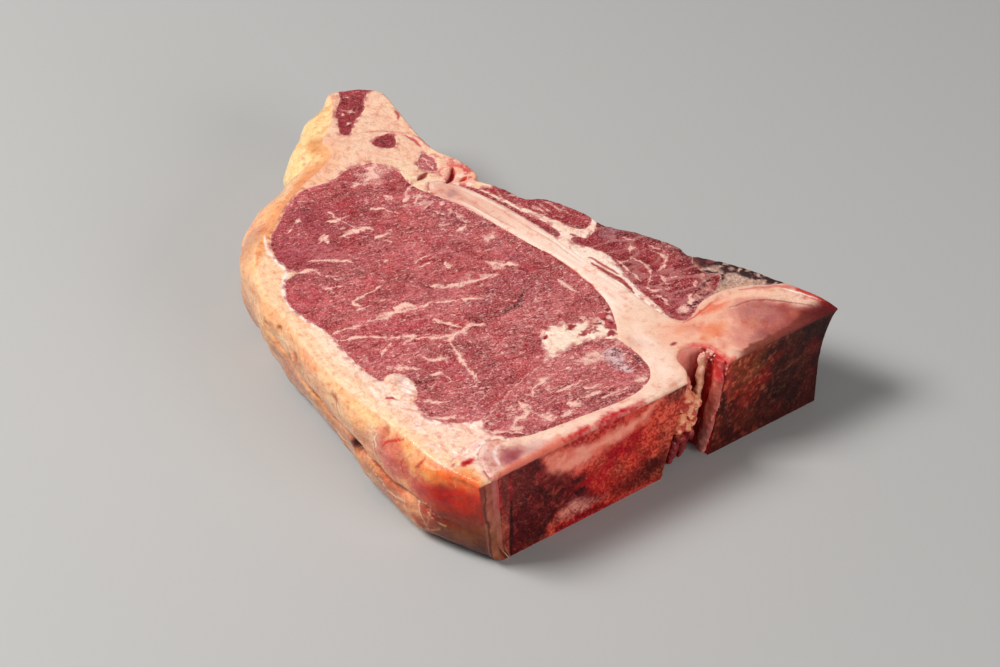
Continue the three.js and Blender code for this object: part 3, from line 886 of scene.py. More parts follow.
# Lines of fat: [half width, path].
STRIP_LOIN_LINES = [
    [0.75, [[-11, 87.6], [-5, 87], [0, 86], [10, 85], [15, 84], [20, 83], [24, 82]]],
    [0.55, [[24, 82], [30, 79.5], [36, 77], [43, 73]]],
    [1.3, [[14, 84.8], [18, 85.6], [21, 84]]],
    [0.5, [[-10, 84], [-3, 80.5], [2, 77], [6, 74], [10, 71.5], [16, 69]]],
    [0.5, [[5, 68.5], [10, 69.5], [15, 67.5], [20, 65], [24, 63]]],
    [0.9, [[20, 62], [25, 63.5], [30, 64], [34, 62]]],
    [0.7, [[22, 73.5], [24, 70], [26, 67], [28, 64]]],
    [0.6, [[20, 62], [19, 58], [18, 53], [17, 48], [17, 43], [14, 40]]],
    [0.5, [[6, 94], [5.4, 97], [10, 97.5], [17, 99]]],
    [0.35, [[-1, 109.5], [5, 107], [8, 105.6]]],
    [0.5, [[5, 125], [10, 121.5], [14, 118], [17, 115]]],
    [0.6, [[25, 144], [26, 140], [27, 137], [28, 131]]],
    [0.9, [[21, 129.5], [26, 129.5], [30, 129], [33, 126]]],
    [0.45, [[22, 139.5], [26, 138.5], [30, 138]]],
    [0.45, [[38, 137], [42, 134], [44.5, 129]]],
    [0.5, [[31, 89], [35, 86], [40, 84]]],
    [1.9, [[40, 83.5], [46, 82.5], [52, 82]]],
    [1.7, [[55, 88], [58, 84], [61, 82]]],
    [1.3, [[60.5, 97], [62.5, 99], [62, 101]]],
    [1.1, [[41.6, 94], [43, 96.5]]],
    [1.1, [[-2, 61], [0, 59], [2.5, 56]]],
    [0.6, [[13.5, 131], [18, 133.5]]],
    [0.6, [[16, 129.5], [16.5, 134]]],
    [0.8, [[13.6, 146], [15.6, 147]]],
    [0.7, [[7, 142.4], [9.5, 143]]],
    [2.0, [[47, 152], [50, 154], [54, 157]]],
    [1.2, [[40, 151], [43, 152]]],
    [0.45, [[31, 121.5], [36, 121.4]]],
    [0.4, [[2, 93], [6, 92.5], [10, 92]]],
    [0.7, [[-4, 122.2], [0, 121.6], [3.6, 119.8], [5, 115.5]]],
    [0.5, [[5, 115.5], [7, 112], [8, 109]]],
    [0.5, [[68, 70], [68.5, 64], [69, 58]]],
    [0.6, [[52, 127], [56, 129]]],
    [0.6, [[53, 131], [57, 134]]],
    [0.5, [[56, 122], [58, 119.5]]],
    [0.7, [[50, 133], [55, 138]]],
    [0.6, [[55.5, 138], [59, 141]]],
    [0.7, [[56, 109.2], [60, 109.4]]],
    [0.8, [[53, 116], [56, 114]]],
    [0.35, [[34, 102.5], [38, 103.5], [41, 103]]],
    [0.25, [[34, 99.5], [42, 99]]],
    [0.5, [[20, 116], [21, 117]]],
    [0.5, [[25.6, 109], [27, 109.6]]],
    [0.6, [[-3, 68], [0, 71], [4, 72]]],
    [0.5, [[8, 60], [10, 57], [13, 56]]],
    [0.45, [[4, 52], [8, 50], [9, 46]]],
    [0.6, [[-4, 42], [0, 38.5], [3, 37]]],
    [0.5, [[-6, 34], [-2, 31], [2, 30]]],
    [0.5, [[10, 40], [14, 39], [18, 43]]],
]
CHINE_LINES = [
    [1.3, [[13, 17], [16, 18.6], [20, 19], [20.7, 21.5], [20.8, 24.3]]],
    [0.9, [[20.6, 19.2], [22, 16], [24, 12], [26, 10.6]]],
    [0.8, [[5, 18], [8, 15], [12, 13]]],
    [0.7, [[26, 11], [30, 10.4], [34, 10.8]]],
    [1.5, [[32, 14.4], [35, 13.6], [38, 14.4]]],
    [0.7, [[38, 14.4], [44, 13], [50, 13.2]]],
    [0.9, [[30.6, 23.6], [32.2, 23.2]]],
    [1.7, [[57.6, 9.6], [60, 9.8]]],
    [0.45, [[34, 21], [40, 20.4], [45, 21.6]]],
    [0.6, [[41, 17], [46, 16.4]]],
    [0.5, [[25, 24.5], [30, 27.4], [36, 29]]],
    [0.8, [[44, 10.6], [50, 10.2], [55, 9.2]]],
    [1.1, [[13, 17], [12, 13.6], [13, 11]]],
    [0.45, [[27, 18.5], [31, 19]]],
]
TENDERLOIN_LINES = [
    [0.38, [[91, 46], [96, 51], [97, 56], [96, 62]]],
    [0.5, [[102, 51], [105, 55], [104.5, 60]]],
    [0.7, [[98, 65], [100, 68]]],
    [0.4, [[96, 41], [98, 46], [103, 43]]],
    [0.35, [[103, 36], [105, 39]]],
    [0.35, [[91, 64], [90.5, 57], [91, 50]]],
    [0.45, [[89, 42], [91, 38], [90, 33]]],
    [0.4, [[96, 41], [92, 43], [89, 46]]],
    [0.4, [[99, 51], [103, 52], [107, 56]]],
    [0.3, [[91, 62], [94, 61], [96, 62]]],
    [0.4, [[105, 64], [107, 58]]],
    [0.5, [[98, 49], [97, 44]]],
    [0.8, [[96, 30.5], [98, 33], [101, 34]]],
    [0.9, [[92.5, 28], [93.6, 31]]],
    [0.45, [[100, 72], [103, 68]]],
]
SIDE_LINES = [
    [0.45, [[80.5, 120], [79.8, 113], [82, 105], [84.5, 99], [85.5, 92]]],
    [0.4, [[88, 110], [88.5, 101], [90, 94]]],
    [0.7, [[83, 116], [85, 112]]],
    [0.35, [[90, 107], [92, 100], [93, 93]]],
    [0.5, [[85, 107], [87, 98]]],
]
TAIL_LINES = [
    [1.9, [[65.9, 191.6], [64.6, 190.8]]],
    [0.9, [[62.3, 190.6], [61.9, 189.6]]],
    [0.5, [[60, 184.4], [61.6, 185.6]]],
    [0.5, [[69.4, 200.4], [70.4, 198.6]]],
]
FOLD_LINES = [
    [0.4, [[69.5, 144], [70.5, 148], [70, 152]]],
]
SKIN_WARMTH = (1.04, 0.98, 0.87)
# Patches of colour on the fat side: [run, height, along, tall, strength, colour].
SKIN_PATCHES = [
    [0, 36, 8, 4, 0.9, "fa7a4e"], [11, 35.5, 7, 3.5, 0.85, "f45c42"], [6, 30, 10, 5, 0.9, "dc402a"],
    [4, 24.5, 9, 4.5, 0.9, "ac3018"], [13, 25, 6, 4, 0.8, "bc3e2c"], [4, 18.5, 9, 5, 0.9, "862412"],
    [12, 18, 6, 4, 0.8, "a03418"], [2, 12, 5, 9, 0.85, "a45c28"], [13, 14, 5, 3, 0.5, "bc5034"],
    [6, 6, 9, 7, 0.85, "5c2616"], [15, 6, 7, 6, 0.8, "6e3020"], [21, 10, 5, 6, 0.7, "a0402a"],
    [21, 32, 5, 5, 0.6, "ec6e40"], [22, 24, 5, 6, 0.75, "b8303a"], [22, 19, 4, 2.5, 0.5, "f48e6c"],
    [29, 33, 6, 5, 0.7, "fcb060"], [30, 28, 5, 4, 0.5, "d4684a"], [36.5, 28, 6, 7, 0.8, "c84048"],
    [42, 31, 3, 6, 0.55, "b23c42"], [46, 31, 3.6, 3.4, 0.6, "f4dccc"], [29, 16, 6, 4, 0.5, "fcaa86"],
    [40, 15, 9, 2.6, 0.55, "e47850"], [38, 9, 10, 5, 0.7, "9c4e3c"], [46, 21, 6, 4, 0.5, "fcb892"],
    [47, 8, 7, 5, 0.5, "bc7c62"], [53, 26, 6, 4.5, 0.55, "cc7052"], [53, 32, 5, 3, 0.5, "f49a66"],
    [60, 19, 7, 4.5, 0.6, "c8604a"], [60, 27, 5, 4, 0.5, "fcb084"], [67, 34.5, 8, 4, 0.7, "ca7038"],
    [68, 27, 7, 5, 0.5, "fab48e"], [79, 34, 10, 4, 0.65, "d2745c"], [72, 20, 9, 2.6, 0.45, "d48260"],
    [85, 25, 7, 5, 0.55, "f8b888"], [93, 31, 5.5, 5, 0.7, "b4583e"], [92, 22, 8, 6, 0.5, "fac298"],
    [98, 26, 6, 3, 0.55, "b46c44"], [101, 31, 4, 3, 0.5, "ecc8b0"], [105, 15, 7, 4, 0.5, "cc745a"],
    [109, 27, 6, 6, 0.5, "f8ae7c"], [110, 34.5, 8, 3, 0.55, "cc7e54"], [128, 33, 14, 4, 0.5, "ca8460"],
    [150, 34.5, 9, 4, 0.65, "a06a54"], [144, 20, 14, 9, 0.4, "dca07c"], [186, 33, 12, 4, 0.5, "e8b08a"],
    [206, 28, 10, 7, 0.6, "f8dcac"], [222, 35, 6, 3, 0.3, "dcb080"], [238, 30, 10, 7, 0.5, "ecc48c"],
    [17, 33.6, 6, 4, 0.9, "fcc47c"], [8, 35.4, 7, 3.4, 0.85, "ffb478"], [25, 35, 3, 2.4, 0.6, "f0906c"],
    [13, 26.4, 4, 3.6, 0.75, "a81420"], [7, 25, 3.6, 4, 0.6, "d03c18"], [17, 20, 4, 3, 0.5, "d8703c"],
    [10, 10, 7, 4, 0.6, "b87838"], [20, 14, 3, 4, 0.5, "c83c30"], [40, 26, 7, 6, 0.5, "d85c58"],
]
# Folds in the skin of the fat side, as [run, height] paths; they are only painted, as a line of painted
# shade with a painted highlight above it.
SKIN_FOLDS = [
    [[58, 20], [62, 24], [65, 29], [66, 34]], [[40, 20], [44, 24], [45, 30]],
    [[74, 19], [78, 22], [84, 23], [90, 26]], [[88, 22], [92, 27], [97, 30], [104, 31]],
    [[30, 12], [36, 10], [44, 11], [50, 14]], [[66, 9], [74, 8], [82, 10]],
    [[96, 14], [104, 17], [110, 21]], [[160, 24], [172, 27], [186, 26]],
    [[204, 28], [210, 31], [214, 34]], [[20, 6], [23, 12], [24, 18]],
]
# Faint seams in the cut fat of the tail.
TAIL_SEAMS = [
    [[46, 183], [52, 177], [58, 174], [66, 173], [74, 176]], [[60, 190], [62, 200]],
    [[70, 186], [74, 180], [75, 172]], [[54, 168], [60, 160], [64, 154]],
    [[66, 178], [72, 184], [78, 188]],
]
LEAN_LINES = {"strip_loin": STRIP_LOIN_LINES, "chine_muscle": CHINE_LINES,
              "tenderloin": TENDERLOIN_LINES, "side_lean": SIDE_LINES,
              "tail_lean_tip": TAIL_LINES, "tail_lean_fold": FOLD_LINES}


def streaks(plan, size, seed, stretch=3.0):
    """Noise drawn out along the grain of the muscles."""
    along, across = turned(*plan.T, -math.radians(GRAIN_TURN))
    return noise_over(along / stretch, across, size, seed)


def paint_strip_loin(paint, wisp, bits, edge):
    """What only the large eye has; wisp, bits and edge are changed in place."""
    flat = paint.plan
    x, y = flat.T
    dark = paint.spot(flat, 10, 133, 20, 17, 0.4, 0.5)
    paint.coat(dark * 0.35, "8a3040")
    paint.fleck -= dark * 0.22
    wisp -= dark * 0.45
    lobe = paint.spot(flat, -7, 107, 7, 13, 0, 0.5)
    paint.fleck -= lobe * 0.25
    wisp -= lobe * 0.5
    bits *= 1 - 0.6 * np.maximum(dark, lobe)
    front = paint.patch(flat, [[-10, 28], [42, 34], [60, 50], [60, 62], [30, 68], [-12, 80]], 8)
    wisp -= front * 0.05
    bits *= 0.6 + 0.2 * front
    right = paint.patch(flat, [[40, 90], [72, 78], [70, 96], [62, 126], [46, 138],
                               [38, 110]], 7)
    wisp -= right * 0.1
    bits *= 1 - 0.4 * right
    paint.spots(flat, 1, [
        [58, 72, 15, 11, 0.6, 0.35, "7c2030"], [40, 68, 12, 6, 0.2, 0.3, "8a2834"],
        [12, 76, 10, 5, 0.1, 0.4, "b42c38"], [26, 69, 7, 4, 0.3, 0.4, "b83038"],
        [2, 54, 8, 5, 0.3, 0.35, "7a2430"], [14, 52, 6, 6, 0, 0.4, "b43440"],
        [11, 121, 10, 10, 0, 0.3, "dc9c98"], [29, 81, 13, 9, 0, 0.2, "dc9c98"],
        [60, 57, 8, 9, 0, 0.25, "dc9c98"], [57, 115, 7, 11, 0, 0.3, "8a3040"],
        [10, 36, 9, 5, 0, 0.3, "8a3038"],
    ])
    # Painted shade: the crack in the eye is darkened where shade falls in it.
    crack_shade = paint.line(flat, 0.8, EYE_CRACK[2], 0.3)
    paint.coat(crack_shade * 0.85, "4c1014")
    paint.marble[crack_shade > 0.3] = 0
    by_wedge = paint.spot(flat, 56, 46, 16, 8, -0.1, 0.5)
    by_wedge *= np.exp(-((paint.seam / 3.0) ** 2))
    crumbs = smooth(paint.noise(1.9, 77), -0.15, 0.3)
    paint.fatten(0.9 * by_wedge * crumbs)
    by_tendon = paint.spot(flat, 0, 60, 9, 7, 0.5, 0.6)
    by_tendon *= smooth(paint.noise(2.4, 78), 0.0, 0.35)
    paint.fatten(0.72 * by_tendon)
    beside_bone = smooth(x, 64, 68) * smooth(y, 44, 50)
    beside_bone *= 1 - smooth(y, 84, 92)
    edge *= 1 - beside_bone
    paint.coat(beside_bone * np.exp(-((paint.seam / 1.6) ** 2)) * 0.85, "961820")
    flakes = paint.patch(flat, [[46, 150], [62, 128], [66, 112], [70, 100], [66, 98],
                                [60, 110], [52, 126], [44, 142]], 3, 2)
    pale_bits = smooth(paint.noise(2.2, 69, 2), 0.18, 0.5)
    paint.fatten(0.8 * flakes * pale_bits)
    holes = smooth(paint.noise(2.6, 70, 2), 0.3, 0.6)
    paint.coat(flakes * holes * 0.7, "6e1620")
    top_patch = paint.patch(flat, [[40, 150], [46, 157], [55, 159], [57, 152], [50, 148]], 2, 2)
    paint.fatten(0.62 * top_patch)
    paint.coat(top_patch * 0.35, "c8786e")


def paint_chine_muscle(paint, wisp, bits, edge):
    """The small muscle at the vertebra, with patches of cream and white film."""
    flat = paint.plan
    paint.fleck += 0.08
    wisp += 0.4
    bits *= 1.4
    cream = paint.patch(flat, [[49, 30], [53.6, 31.4], [59, 29.6], [57, 25.4], [53, 24.6],
                               [49, 26.6]], 1.2, 1.6, 3)
    white = paint.patch(flat, [[57, 28.4], [61.8, 28.2], [63.2, 23], [61, 19.4], [57, 20.2],
                               [55, 24]], 1.0, 1.6, 3)
    film = paint.patch(flat, [[55.6, 19.8], [60, 18.8], [60.4, 14.8], [56, 15.6]], 1.0, 1.4, 3)
    film = np.maximum(white, film)
    paint.coat(cream * 0.7, "e8c8b8")
    paint.coat(film * 0.9, "dcd0d4")
    paint.mottles(film, [[1.9, 71, 0.15, 0.45, 0.85, "5c2630"]])
    paint.fatten(0.8 * cream)
    film = np.maximum(cream, film)
    paint.lines(flat, 1, [
        [1.0, 0.3, 0.9, "8f1620", [[14, 9.6], [22, 8.8], [33, 8.6]]],
        [1.0, 0.3, 0.9, "8f1620", [[35, 8.4], [46, 7.8], [57, 7.6]]],
        [0.9, 0.8, 0.8, "3c0f14", [[63.4, 23], [64.6, 20], [65, 16]]],
        [1.0, 0.4, 0.8, "8f1620", [[40, 19], [46, 18.6], [53, 16.6]]],
    ])
    wisp -= film
    edge *= 1 - 0.6 * smooth(flat[:, 1], 14, 9)


def paint_tenderloin(paint, wisp, bits, edge):
    """The tenderloin: browner, with a dry crust outside and a crumbly end by the bone."""
    flat = paint.plan
    x, y = flat.T
    paint.coat(0.6, "8a222c")
    paint.fleck -= 0.35
    wisp -= 0.4
    bits *= 0.4
    crust = smooth(x, 103, 113) * smooth(7 - paint.margin, 0, 6)
    crust += 0.8 * smooth(y, 60, 80) * smooth(7 - paint.margin, 0, 6)
    paint.coat(crust * 0.7, "5c2c28")
    paint.mottles(crust, [[3, 72, 0.1, 0.6, 0.4, "946c5a"]])
    gray = paint.spot(flat, 99, 76.5, 6, 4, 0, 0.7) * smooth(paint.noise(3, 73), -0.4, 0.4)
    paint.coat(gray * 0.5, "b4949a")
    lower = paint.line(flat, 3.0, [[94, 29], [101, 32], [108, 36], [110.6, 42]], 1.0)
    grains = smooth(paint.noise(1.7, 65, 2), -0.1, 0.25)
    paint.coat(lower * grains * 0.85, "dcae9c")
    paint.coat(lower * (1 - grains) * 0.75, "46141a")
    paint.coat(paint.spot(flat, 104, 56, 3.4, 2.4, 0.5, 0.8) * 0.4, "b8604a")


LEAN_PAINTERS = {"strip_loin": paint_strip_loin, "chine_muscle": paint_chine_muscle,
                 "tenderloin": paint_tenderloin}


def paint_tail_lean(paint, wisp, bits, edge, rough_end):
    """The islands of lean in the tail; rough_end is 1 for the one that is full of fat."""
    paint.coat(0.6 - 0.4 * rough_end, "84222c")
    paint.fleck += 0.4 * rough_end - 0.4
    wisp += 0.7 * rough_end - 0.45
    bits *= rough_end
    paint.spots(paint.plan, 1, [
        [71, 203, 5, 4, 0, 0.5, "c8545c"], [74.4, 198, 4, 5, 0, 0.4, "b84a50"],
        [70, 148, 2, 3, 0, 0.5, "d07478"],
    ])
    edge *= 0.8 + 0.6 * rough_end


def paint_lean(paint, name):
    """Raw beef: deep red, with a light bloom of fat grains between dark bundles."""
    flat = paint.plan
    broad = paint.noise(16, 61)
    grain = streaks(flat, 3.2, 62)
    paint.mottles(1, [[16, 61, -0.1, 0.9, 0.4, "862834"], [16, 61, 0.0, -0.9, 0.35, "bc5862"],
                      [8, 59, 0.1, 0.6, 0.45, "b42a36"], [7, 60, 0.15, 0.7, 0.4, "c87c84"],
                      [3.6, 108, 0.1, 0.6, 0.4, "8e2430"], [3.2, 109, 0.15, 0.6, 0.3, "cc8288"]])
    paint.coat(smooth(grain, 0.0, 0.9) * 0.4, "7c2430")
    paint.coat(smooth(-grain, 0.1, 0.9) * 0.35, "cc7278")
    paint.fleck[:] = 0.45 + 0.25 * paint.noise(11, 63) + 0.2 * streaks(flat, 5, 64)
    paint.marbling(LEAN_LINES.get(name, []))
    wisp = 1 - np.abs(streaks(flat, 6.5, 67, 2.2)) / 0.11
    wisp *= smooth(paint.noise(9, 68, 2), -0.35, 0.5)
    bits = smooth(streaks(flat, 2.6, 75, 1.7), 0.46, 0.72)
    bits *= smooth(paint.noise(12, 76, 2), -0.2, 0.4)
    edge = np.exp(-((paint.seam / 0.55) ** 2)) * 0.62
    if name in LEAN_PAINTERS:
        LEAN_PAINTERS[name](paint, wisp, bits, edge)
    if name in ("side_lean", "stem_lean"):
        paint.coat(0.4, "9c2832")
        paint.fleck -= 0.15
        wisp -= 0.1
    if name == "stem_lean":
        paint.coat(0.6, "8c2430")
    if name.startswith("tail_lean"):
        paint_tail_lean(paint, wisp, bits, edge, float(name == "tail_lean_fold"))
    if name == "side_lean":
        paint.marble *= 0.72
        edge *= 0.7
    paint.fatten(np.clip(wisp, 0, 1) * 0.5)
    paint.fatten(np.clip(bits, 0, 1) * 0.78)
    paint.fatten(edge)
    paint.marble *= paint.cut
    dry = paint.outside
    paint.coat(dry * 0.75, "4e1c20")
    paint.mottles(dry, [[5, 66, 0, 0.7, 0.5, "80604a"]])
    paint.fleck -= dry * 0.4
    paint.gloss[:] = 0.55 + 0.25 * broad - dry * 0.4


def paint_fat_skin(paint, amount):
    """The outside of the rim fat: waxy, yellow-orange and peach, with red and brown patches, painted
    shade low down and in its creases and pits, and painted highlights.
    """
    side = paint.side
    run, height = side.T
    before = paint.colour
    paint.colour = np.tile(linear("f4b888"), (len(run), 1))
    drawn = (run / 3.5, height + 0.2 * run)
    streak = noise_over(*drawn, 2.6, 71, 4)
    marks = noise_over(*drawn, 5.5, 74, 4)
    paint.mottles(1, [[17, 72, -0.2, 0.8, 0.5, "e49a62"], [11, 73, -0.1, 0.8, 0.5, "f8cc98"],
                      [8, 75, 0.15, 0.6, 0.4, "da8474"]])
    fold = np.interp(run, *zip(*CREASE))
    on_left = smooth(run, 30, 50) * (1 - smooth(run, 116, 128))
    # Painted shade: the lower roll, below the crease, is darkened, most of all near the floor.
    below_fold_shade = smooth(fold - height, 0, 3) * on_left
    paint.coat(below_fold_shade * 0.6, "c08058")
    paint.coat(below_fold_shade * smooth(9 - height, 0, 7) * 0.8, "743c28")
    front = 1 - smooth(run, 14, 27)
    paint.coat(front, "cc2a10")
    # Painted shade: the front gets darker towards the floor.
    paint.coat(front * smooth(25 - height, 0, 8), "701c10")
    for at, up, along, tall, strength, colour in SKIN_PATCHES:
        paint.coat(paint.spot(side, at, up, along, tall, 0.0, 0.65, 0.4) * strength, colour)
    paler = 0.4 * (1 - 0.85 * front)
    # The upper part of the side is paler: partly the fat's cream colour and partly painted light from
    # above.
    upper_cream_and_light = smooth(height, 18, 32) * smooth(run, 24, 60) * (1 - smooth(run, 150, 175))
    paint.coat(upper_cream_and_light * 0.35, "fcd8ac")
    redder = 0.22 * (1 - 0.7 * front)
    paint.coat(smooth(marks, 0.1, 0.8) * paler, "fcd8ae")
    paint.coat(smooth(-marks, 0.1, 0.8) * redder, "cc6a50")
    paint.coat(smooth(streak, 0.2, 0.7) * paler, "fde6c6")
    paint.coat(smooth(-streak, 0.3, 0.8) * redder, "c05a48")
    pale_end = smooth(run + 9 * paint.noise(9, 77, 2), 190, 218)
    paint.coat(pale_end * 0.85, "f6dcaa")
    paint.coat(pale_end * smooth(paint.noise(6, 76), 0.1, 0.6) * 0.35, "e8c490")
    # Painted shade, orange, in the groove between the skin and the cut face towards the tail.
    groove_shade = smooth(run, 148, 160) * (1 - smooth(run, 200, 212)) * smooth(height, 35.8, 37.6)
    paint.coat(groove_shade * 0.8, "dc7c40")
    # Painted shade in a pit and under a fold near the tail.
    paint.coat(paint.spot(side, 213, 36.6, 4, 1.6, 0, 0.7) * 0.7, "c47c48")
    paint.coat(paint.spot(side, 236, 34, 3, 2.4, 0.4, 0.8) * 0.5, "b48c58")
    # Painted shade on the low part of the fat side where it is set back.
    under = smooth(run, 128, 146) * smooth(22 - height, 0, 12)
    paint.coat(under * 0.55, "b07058")
    paint.lines(side, 1, [
        # Painted shade along the crease between the two rolls.
        [0.9, 0.4, 0.75, "8c3424", CREASE[:-2]],
        [0.5, 0.3, 0.7, "f8dcc4", [[26, 17.2], [34, 17.6], [44, 16.8], [52, 19.4]]],
        [0.6, 0.4, 0.5, "e8b89c", [[19, 19], [19.6, 15], [21, 9]]],
        # Painted highlights: the next two near-white lines on the wet skin.
        [0.45, 0.8, 0.9, "fff0e6", [[43, 33], [44.6, 31], [43.8, 29], [45.4, 27.4]]],
        [0.4, 0.3, 0.9, "fff0e0", [[20, 19.6], [22.6, 17.4], [25, 16.4]]],
        [0.4, 0.4, 0.8, "fbe4d0", [[14, 12.4], [18, 12.8], [21, 15]]],
        # Painted highlights: the next two lines, glints along the upper front rim.
        [0.45, 0.4, 0.9, "fff2e8", [[15, 36.4], [18, 35.2], [21.6, 35.8]]],
        [0.35, 0.4, 0.7, "ffe0cc", [[8, 36.6], [9.6, 34], [9, 31]]],
        [0.3, 0.5, 0.6, "fcd8c0", [[16, 10], [20, 7], [25, 5]]],
        [0.3, 0.5, 0.5, "f8c8b0", [[12, 17], [17, 15.4], [22, 16.4]]],
        [0.35, 0.5, 0.6, "b01c20", [[28, 24], [31, 28], [30, 32]]],
        [0.5, 0.3, 0.9, "c4241a", [[33, 36.6], [38, 34], [40, 31]]],
        [0.7, 0.5, 0.7, "b83a30", [[22, 37], [23, 34], [24.6, 32]]],
    ])
    # Painted shade along each fold, and a painted highlight just above it.
    for path in SKIN_FOLDS:
        paint.coat(paint.line(side, 0.45, path, 0.5) * 0.6, "a8442f")
        fold_highlight = [[at + 0.7, up + 0.7] for at, up in path]
        paint.coat(paint.line(side, 0.4, fold_highlight, 0.5) * 0.6, "fde6cc")
    # The deep pit is dark, partly the gash's own dark red and partly painted shade; the smaller pits
    # get painted shade.
    paint.coat(paint.spot(side, 57, 17, 5.5, 1.7, -0.4, 0.6, 0.3), "3a0c0a")
    for at, up, radius, _ in PITS[2:9]:
        pit_shade = paint.spot(side, at, up, radius * 0.9, radius * 0.5, 0.4, 0.8, 0.4)
        paint.coat(pit_shade * 0.6, "9c4426")
    behind = smooth(run, FAT_RUN - 6, FAT_RUN + 6)
    paint.coat(behind * 0.8, "f0c0aa")
    paint.mottles(behind, [[9, 116, 0.0, 0.7, 0.5, "fadcc8"], [6, 117, 0.1, 0.7, 0.4, "e09888"]])
    paint.colour *= np.array(SKIN_WARMTH)
    paint.colour *= 1 - front[:, None] * np.array([0.0, 0.5, 0.72])
    # Painted shade: less red low down at the front.
    paint.colour[:, 0] *= 1 - 0.35 * front * (1 - smooth(height, 12, 24))
    share = np.clip(amount, 0, 1)[:, None]
    paint.colour = before + (paint.colour - before) * share


def paint_fat_cap(paint):
    """The cut face of the thick rim: golden outside, pink and speckled by the sawn corner."""
    flat = paint.plan
    x, y = flat.T
    lines = noise_over(paint.run / 14, paint.margin, 1.5, 83)
    on_rim = smooth(14 - paint.margin, 0, 6)
    paint.coat(smooth(lines, 0.1, 0.8) * on_rim * 0.6, "fde8cc")
    paint.coat(smooth(-lines, 0.2, 0.9) * on_rim * 0.18, "e8a484")
    by_front = 1 - smooth(y, 20, 60)
    paint.coat(smooth(11 - paint.margin, 0, 9) * (0.3 + 0.6 * by_front) * 0.6, "f6c48c")
    warm = smooth(y, 70, 110) * (1 - smooth(y, 140, 155))
    paint.coat(warm * on_rim * 0.35, "f2ba90")
    beside_eye = np.exp(-((paint.seam / 4.5) ** 2)) * (1 - smooth(y, 80, 105))
    paint.coat(beside_eye * 0.7, "f6d8cc")
    band = paint.patch(flat, [[-12, 132], [-5, 142], [3, 148.6], [14, 156.4], [28, 163.6],
                              [42, 171], [47, 180], [52, 180], [48, 170], [44, 166], [34, 160],
                              [20, 157], [6, 148], [-4, 138]], 1.6, 1)
    paint.coat(band * 0.8, "e49458")
    speckled = paint.patch(flat, [[-16, 8], [-4, 12], [12, 18], [10, 28], [-6, 34],
                                  [-14, 44]], 4)
    paint.coat(speckled * 0.4, "f8d4c4")
    paint.mottles(speckled, [[2.6, 84, 0.05, 0.45, 0.7, "fdf2ec"],
                             [2.0, 85, -0.1, -0.5, 0.5, "f0b4a8"],
                             [1.6, 86, 0.3, 0.6, 0.45, "de9088"]])
    paint.pore = 0.15 * speckled
    fan = paint.spot(flat, -11, 56, 6.5, 11, -0.1, 0.6)
    fan_lines = noise_over(y / 7, x - 0.25 * y, 1.2, 86, 2)
    paint.coat(fan * smooth(fan_lines, 0.1, 0.6) * 0.7, "fbeae0")
    paint.coat(fan * smooth(-fan_lines, 0.2, 0.7) * 0.5, "d88e84")
    front = smooth(15 - y, 0, 9) * smooth(-9 - x, -2, 3)
    paint.coat(front * 0.75, "f09c5c")
    paint_stem_end(paint)
    by_stem = smooth(x, 74, 77) * (1 - smooth(y, 118, 132))
    paint.coat(by_stem * 0.75, "f8dccc")
    by_tenderloin = paint.patch(flat, [[84, 45], [87, 46], [88.5, 56], [90, 66], [87, 74],
                                       [84, 80], [81, 78], [82, 60]])
    paint.coat(by_tenderloin * 0.8, "f8e0d2")
    tail = smooth(y, 145, 162)
    paint.coat(tail * 0.75, "ecc0a8")
    paint.coat(tail * smooth(paint.noise(7, 88), 0, 0.7) * 0.3, "eeb49c")
    paint.lines(flat, 1, [
        [1.1, 0.3, 0.85, "b0303a", [[-13, 50], [-9, 47.6], [-5, 43.4], [-3, 41]]],
        [0.6, 0.5, 0.6, "c86464", [[-8, 38], [-5, 34], [-3, 30]]],
        [0.5, 0.5, 0.5, "d07c74", [[-12, 44], [-9, 40], [-8, 35]]],
        [0.9, 0.0, 0.9, "f4e6e0", [[0.5, 146.5], [-3.2, 138], [-4.2, 130], [-4, 124],
                                   [-7.5, 120.6], [-11.5, 114], [-13.4, 106], [-12.8, 98],
                                   [-11.4, 91]]],
        [1.2, 0.3, 1.0, "8c0a10", STEM_END_GROOVES[0][2]],
        [1.5, 0.7, 0.9, "7c2020", STEM_END_GROOVES[1][2]],
        [1.0, 0.4, 0.9, "b8281e", STEM_END_GROOVES[2][2]],
        [0.8, 0.6, 0.85, "b43c48", [[73.4, 166.5], [74.2, 162], [74.1, 157.6]]],
        [0.6, 0.5, 0.7, "cc6a6c", [[76, 165], [76.6, 160], [76, 155]]],
        [0.7, 0.6, 0.8, "a83c44", [[78.9, 181.5], [77.6, 178.5], [76.8, 176]]],
        [0.6, 0.5, 0.55, "cc7870", [[59.6, 177.2], [62.4, 176.7], [69.8, 171.6], [75, 166.6]]],
        [0.8, 0.4, 0.95, "8c1c1e", [[82.5, 67], [84, 60], [85.2, 53], [84.4, 46]]],
        [0.8, 0.5, 0.8, "a0383a", [[84, 70], [85.4, 64], [86.4, 57]]],
        [1.3, 0.6, 0.8, "902c30", [[86, 76], [87.5, 80], [86.5, 84]]],
        *[[0.9, 0.5, 0.28, "d8988a", path] for path in TAIL_SEAMS],
    ])
    paint.spots(flat, 1, [[-8.6, 10.5, 2.4, 1.1, 0.1, 1.0, "b4101e"],
                          [-16, 4, 3.4, 6, 0, 0.7, "e06a34"],
                          [-13.4, 12, 1.0, 0.6, 0.5, 0.7, "b85a48"]])


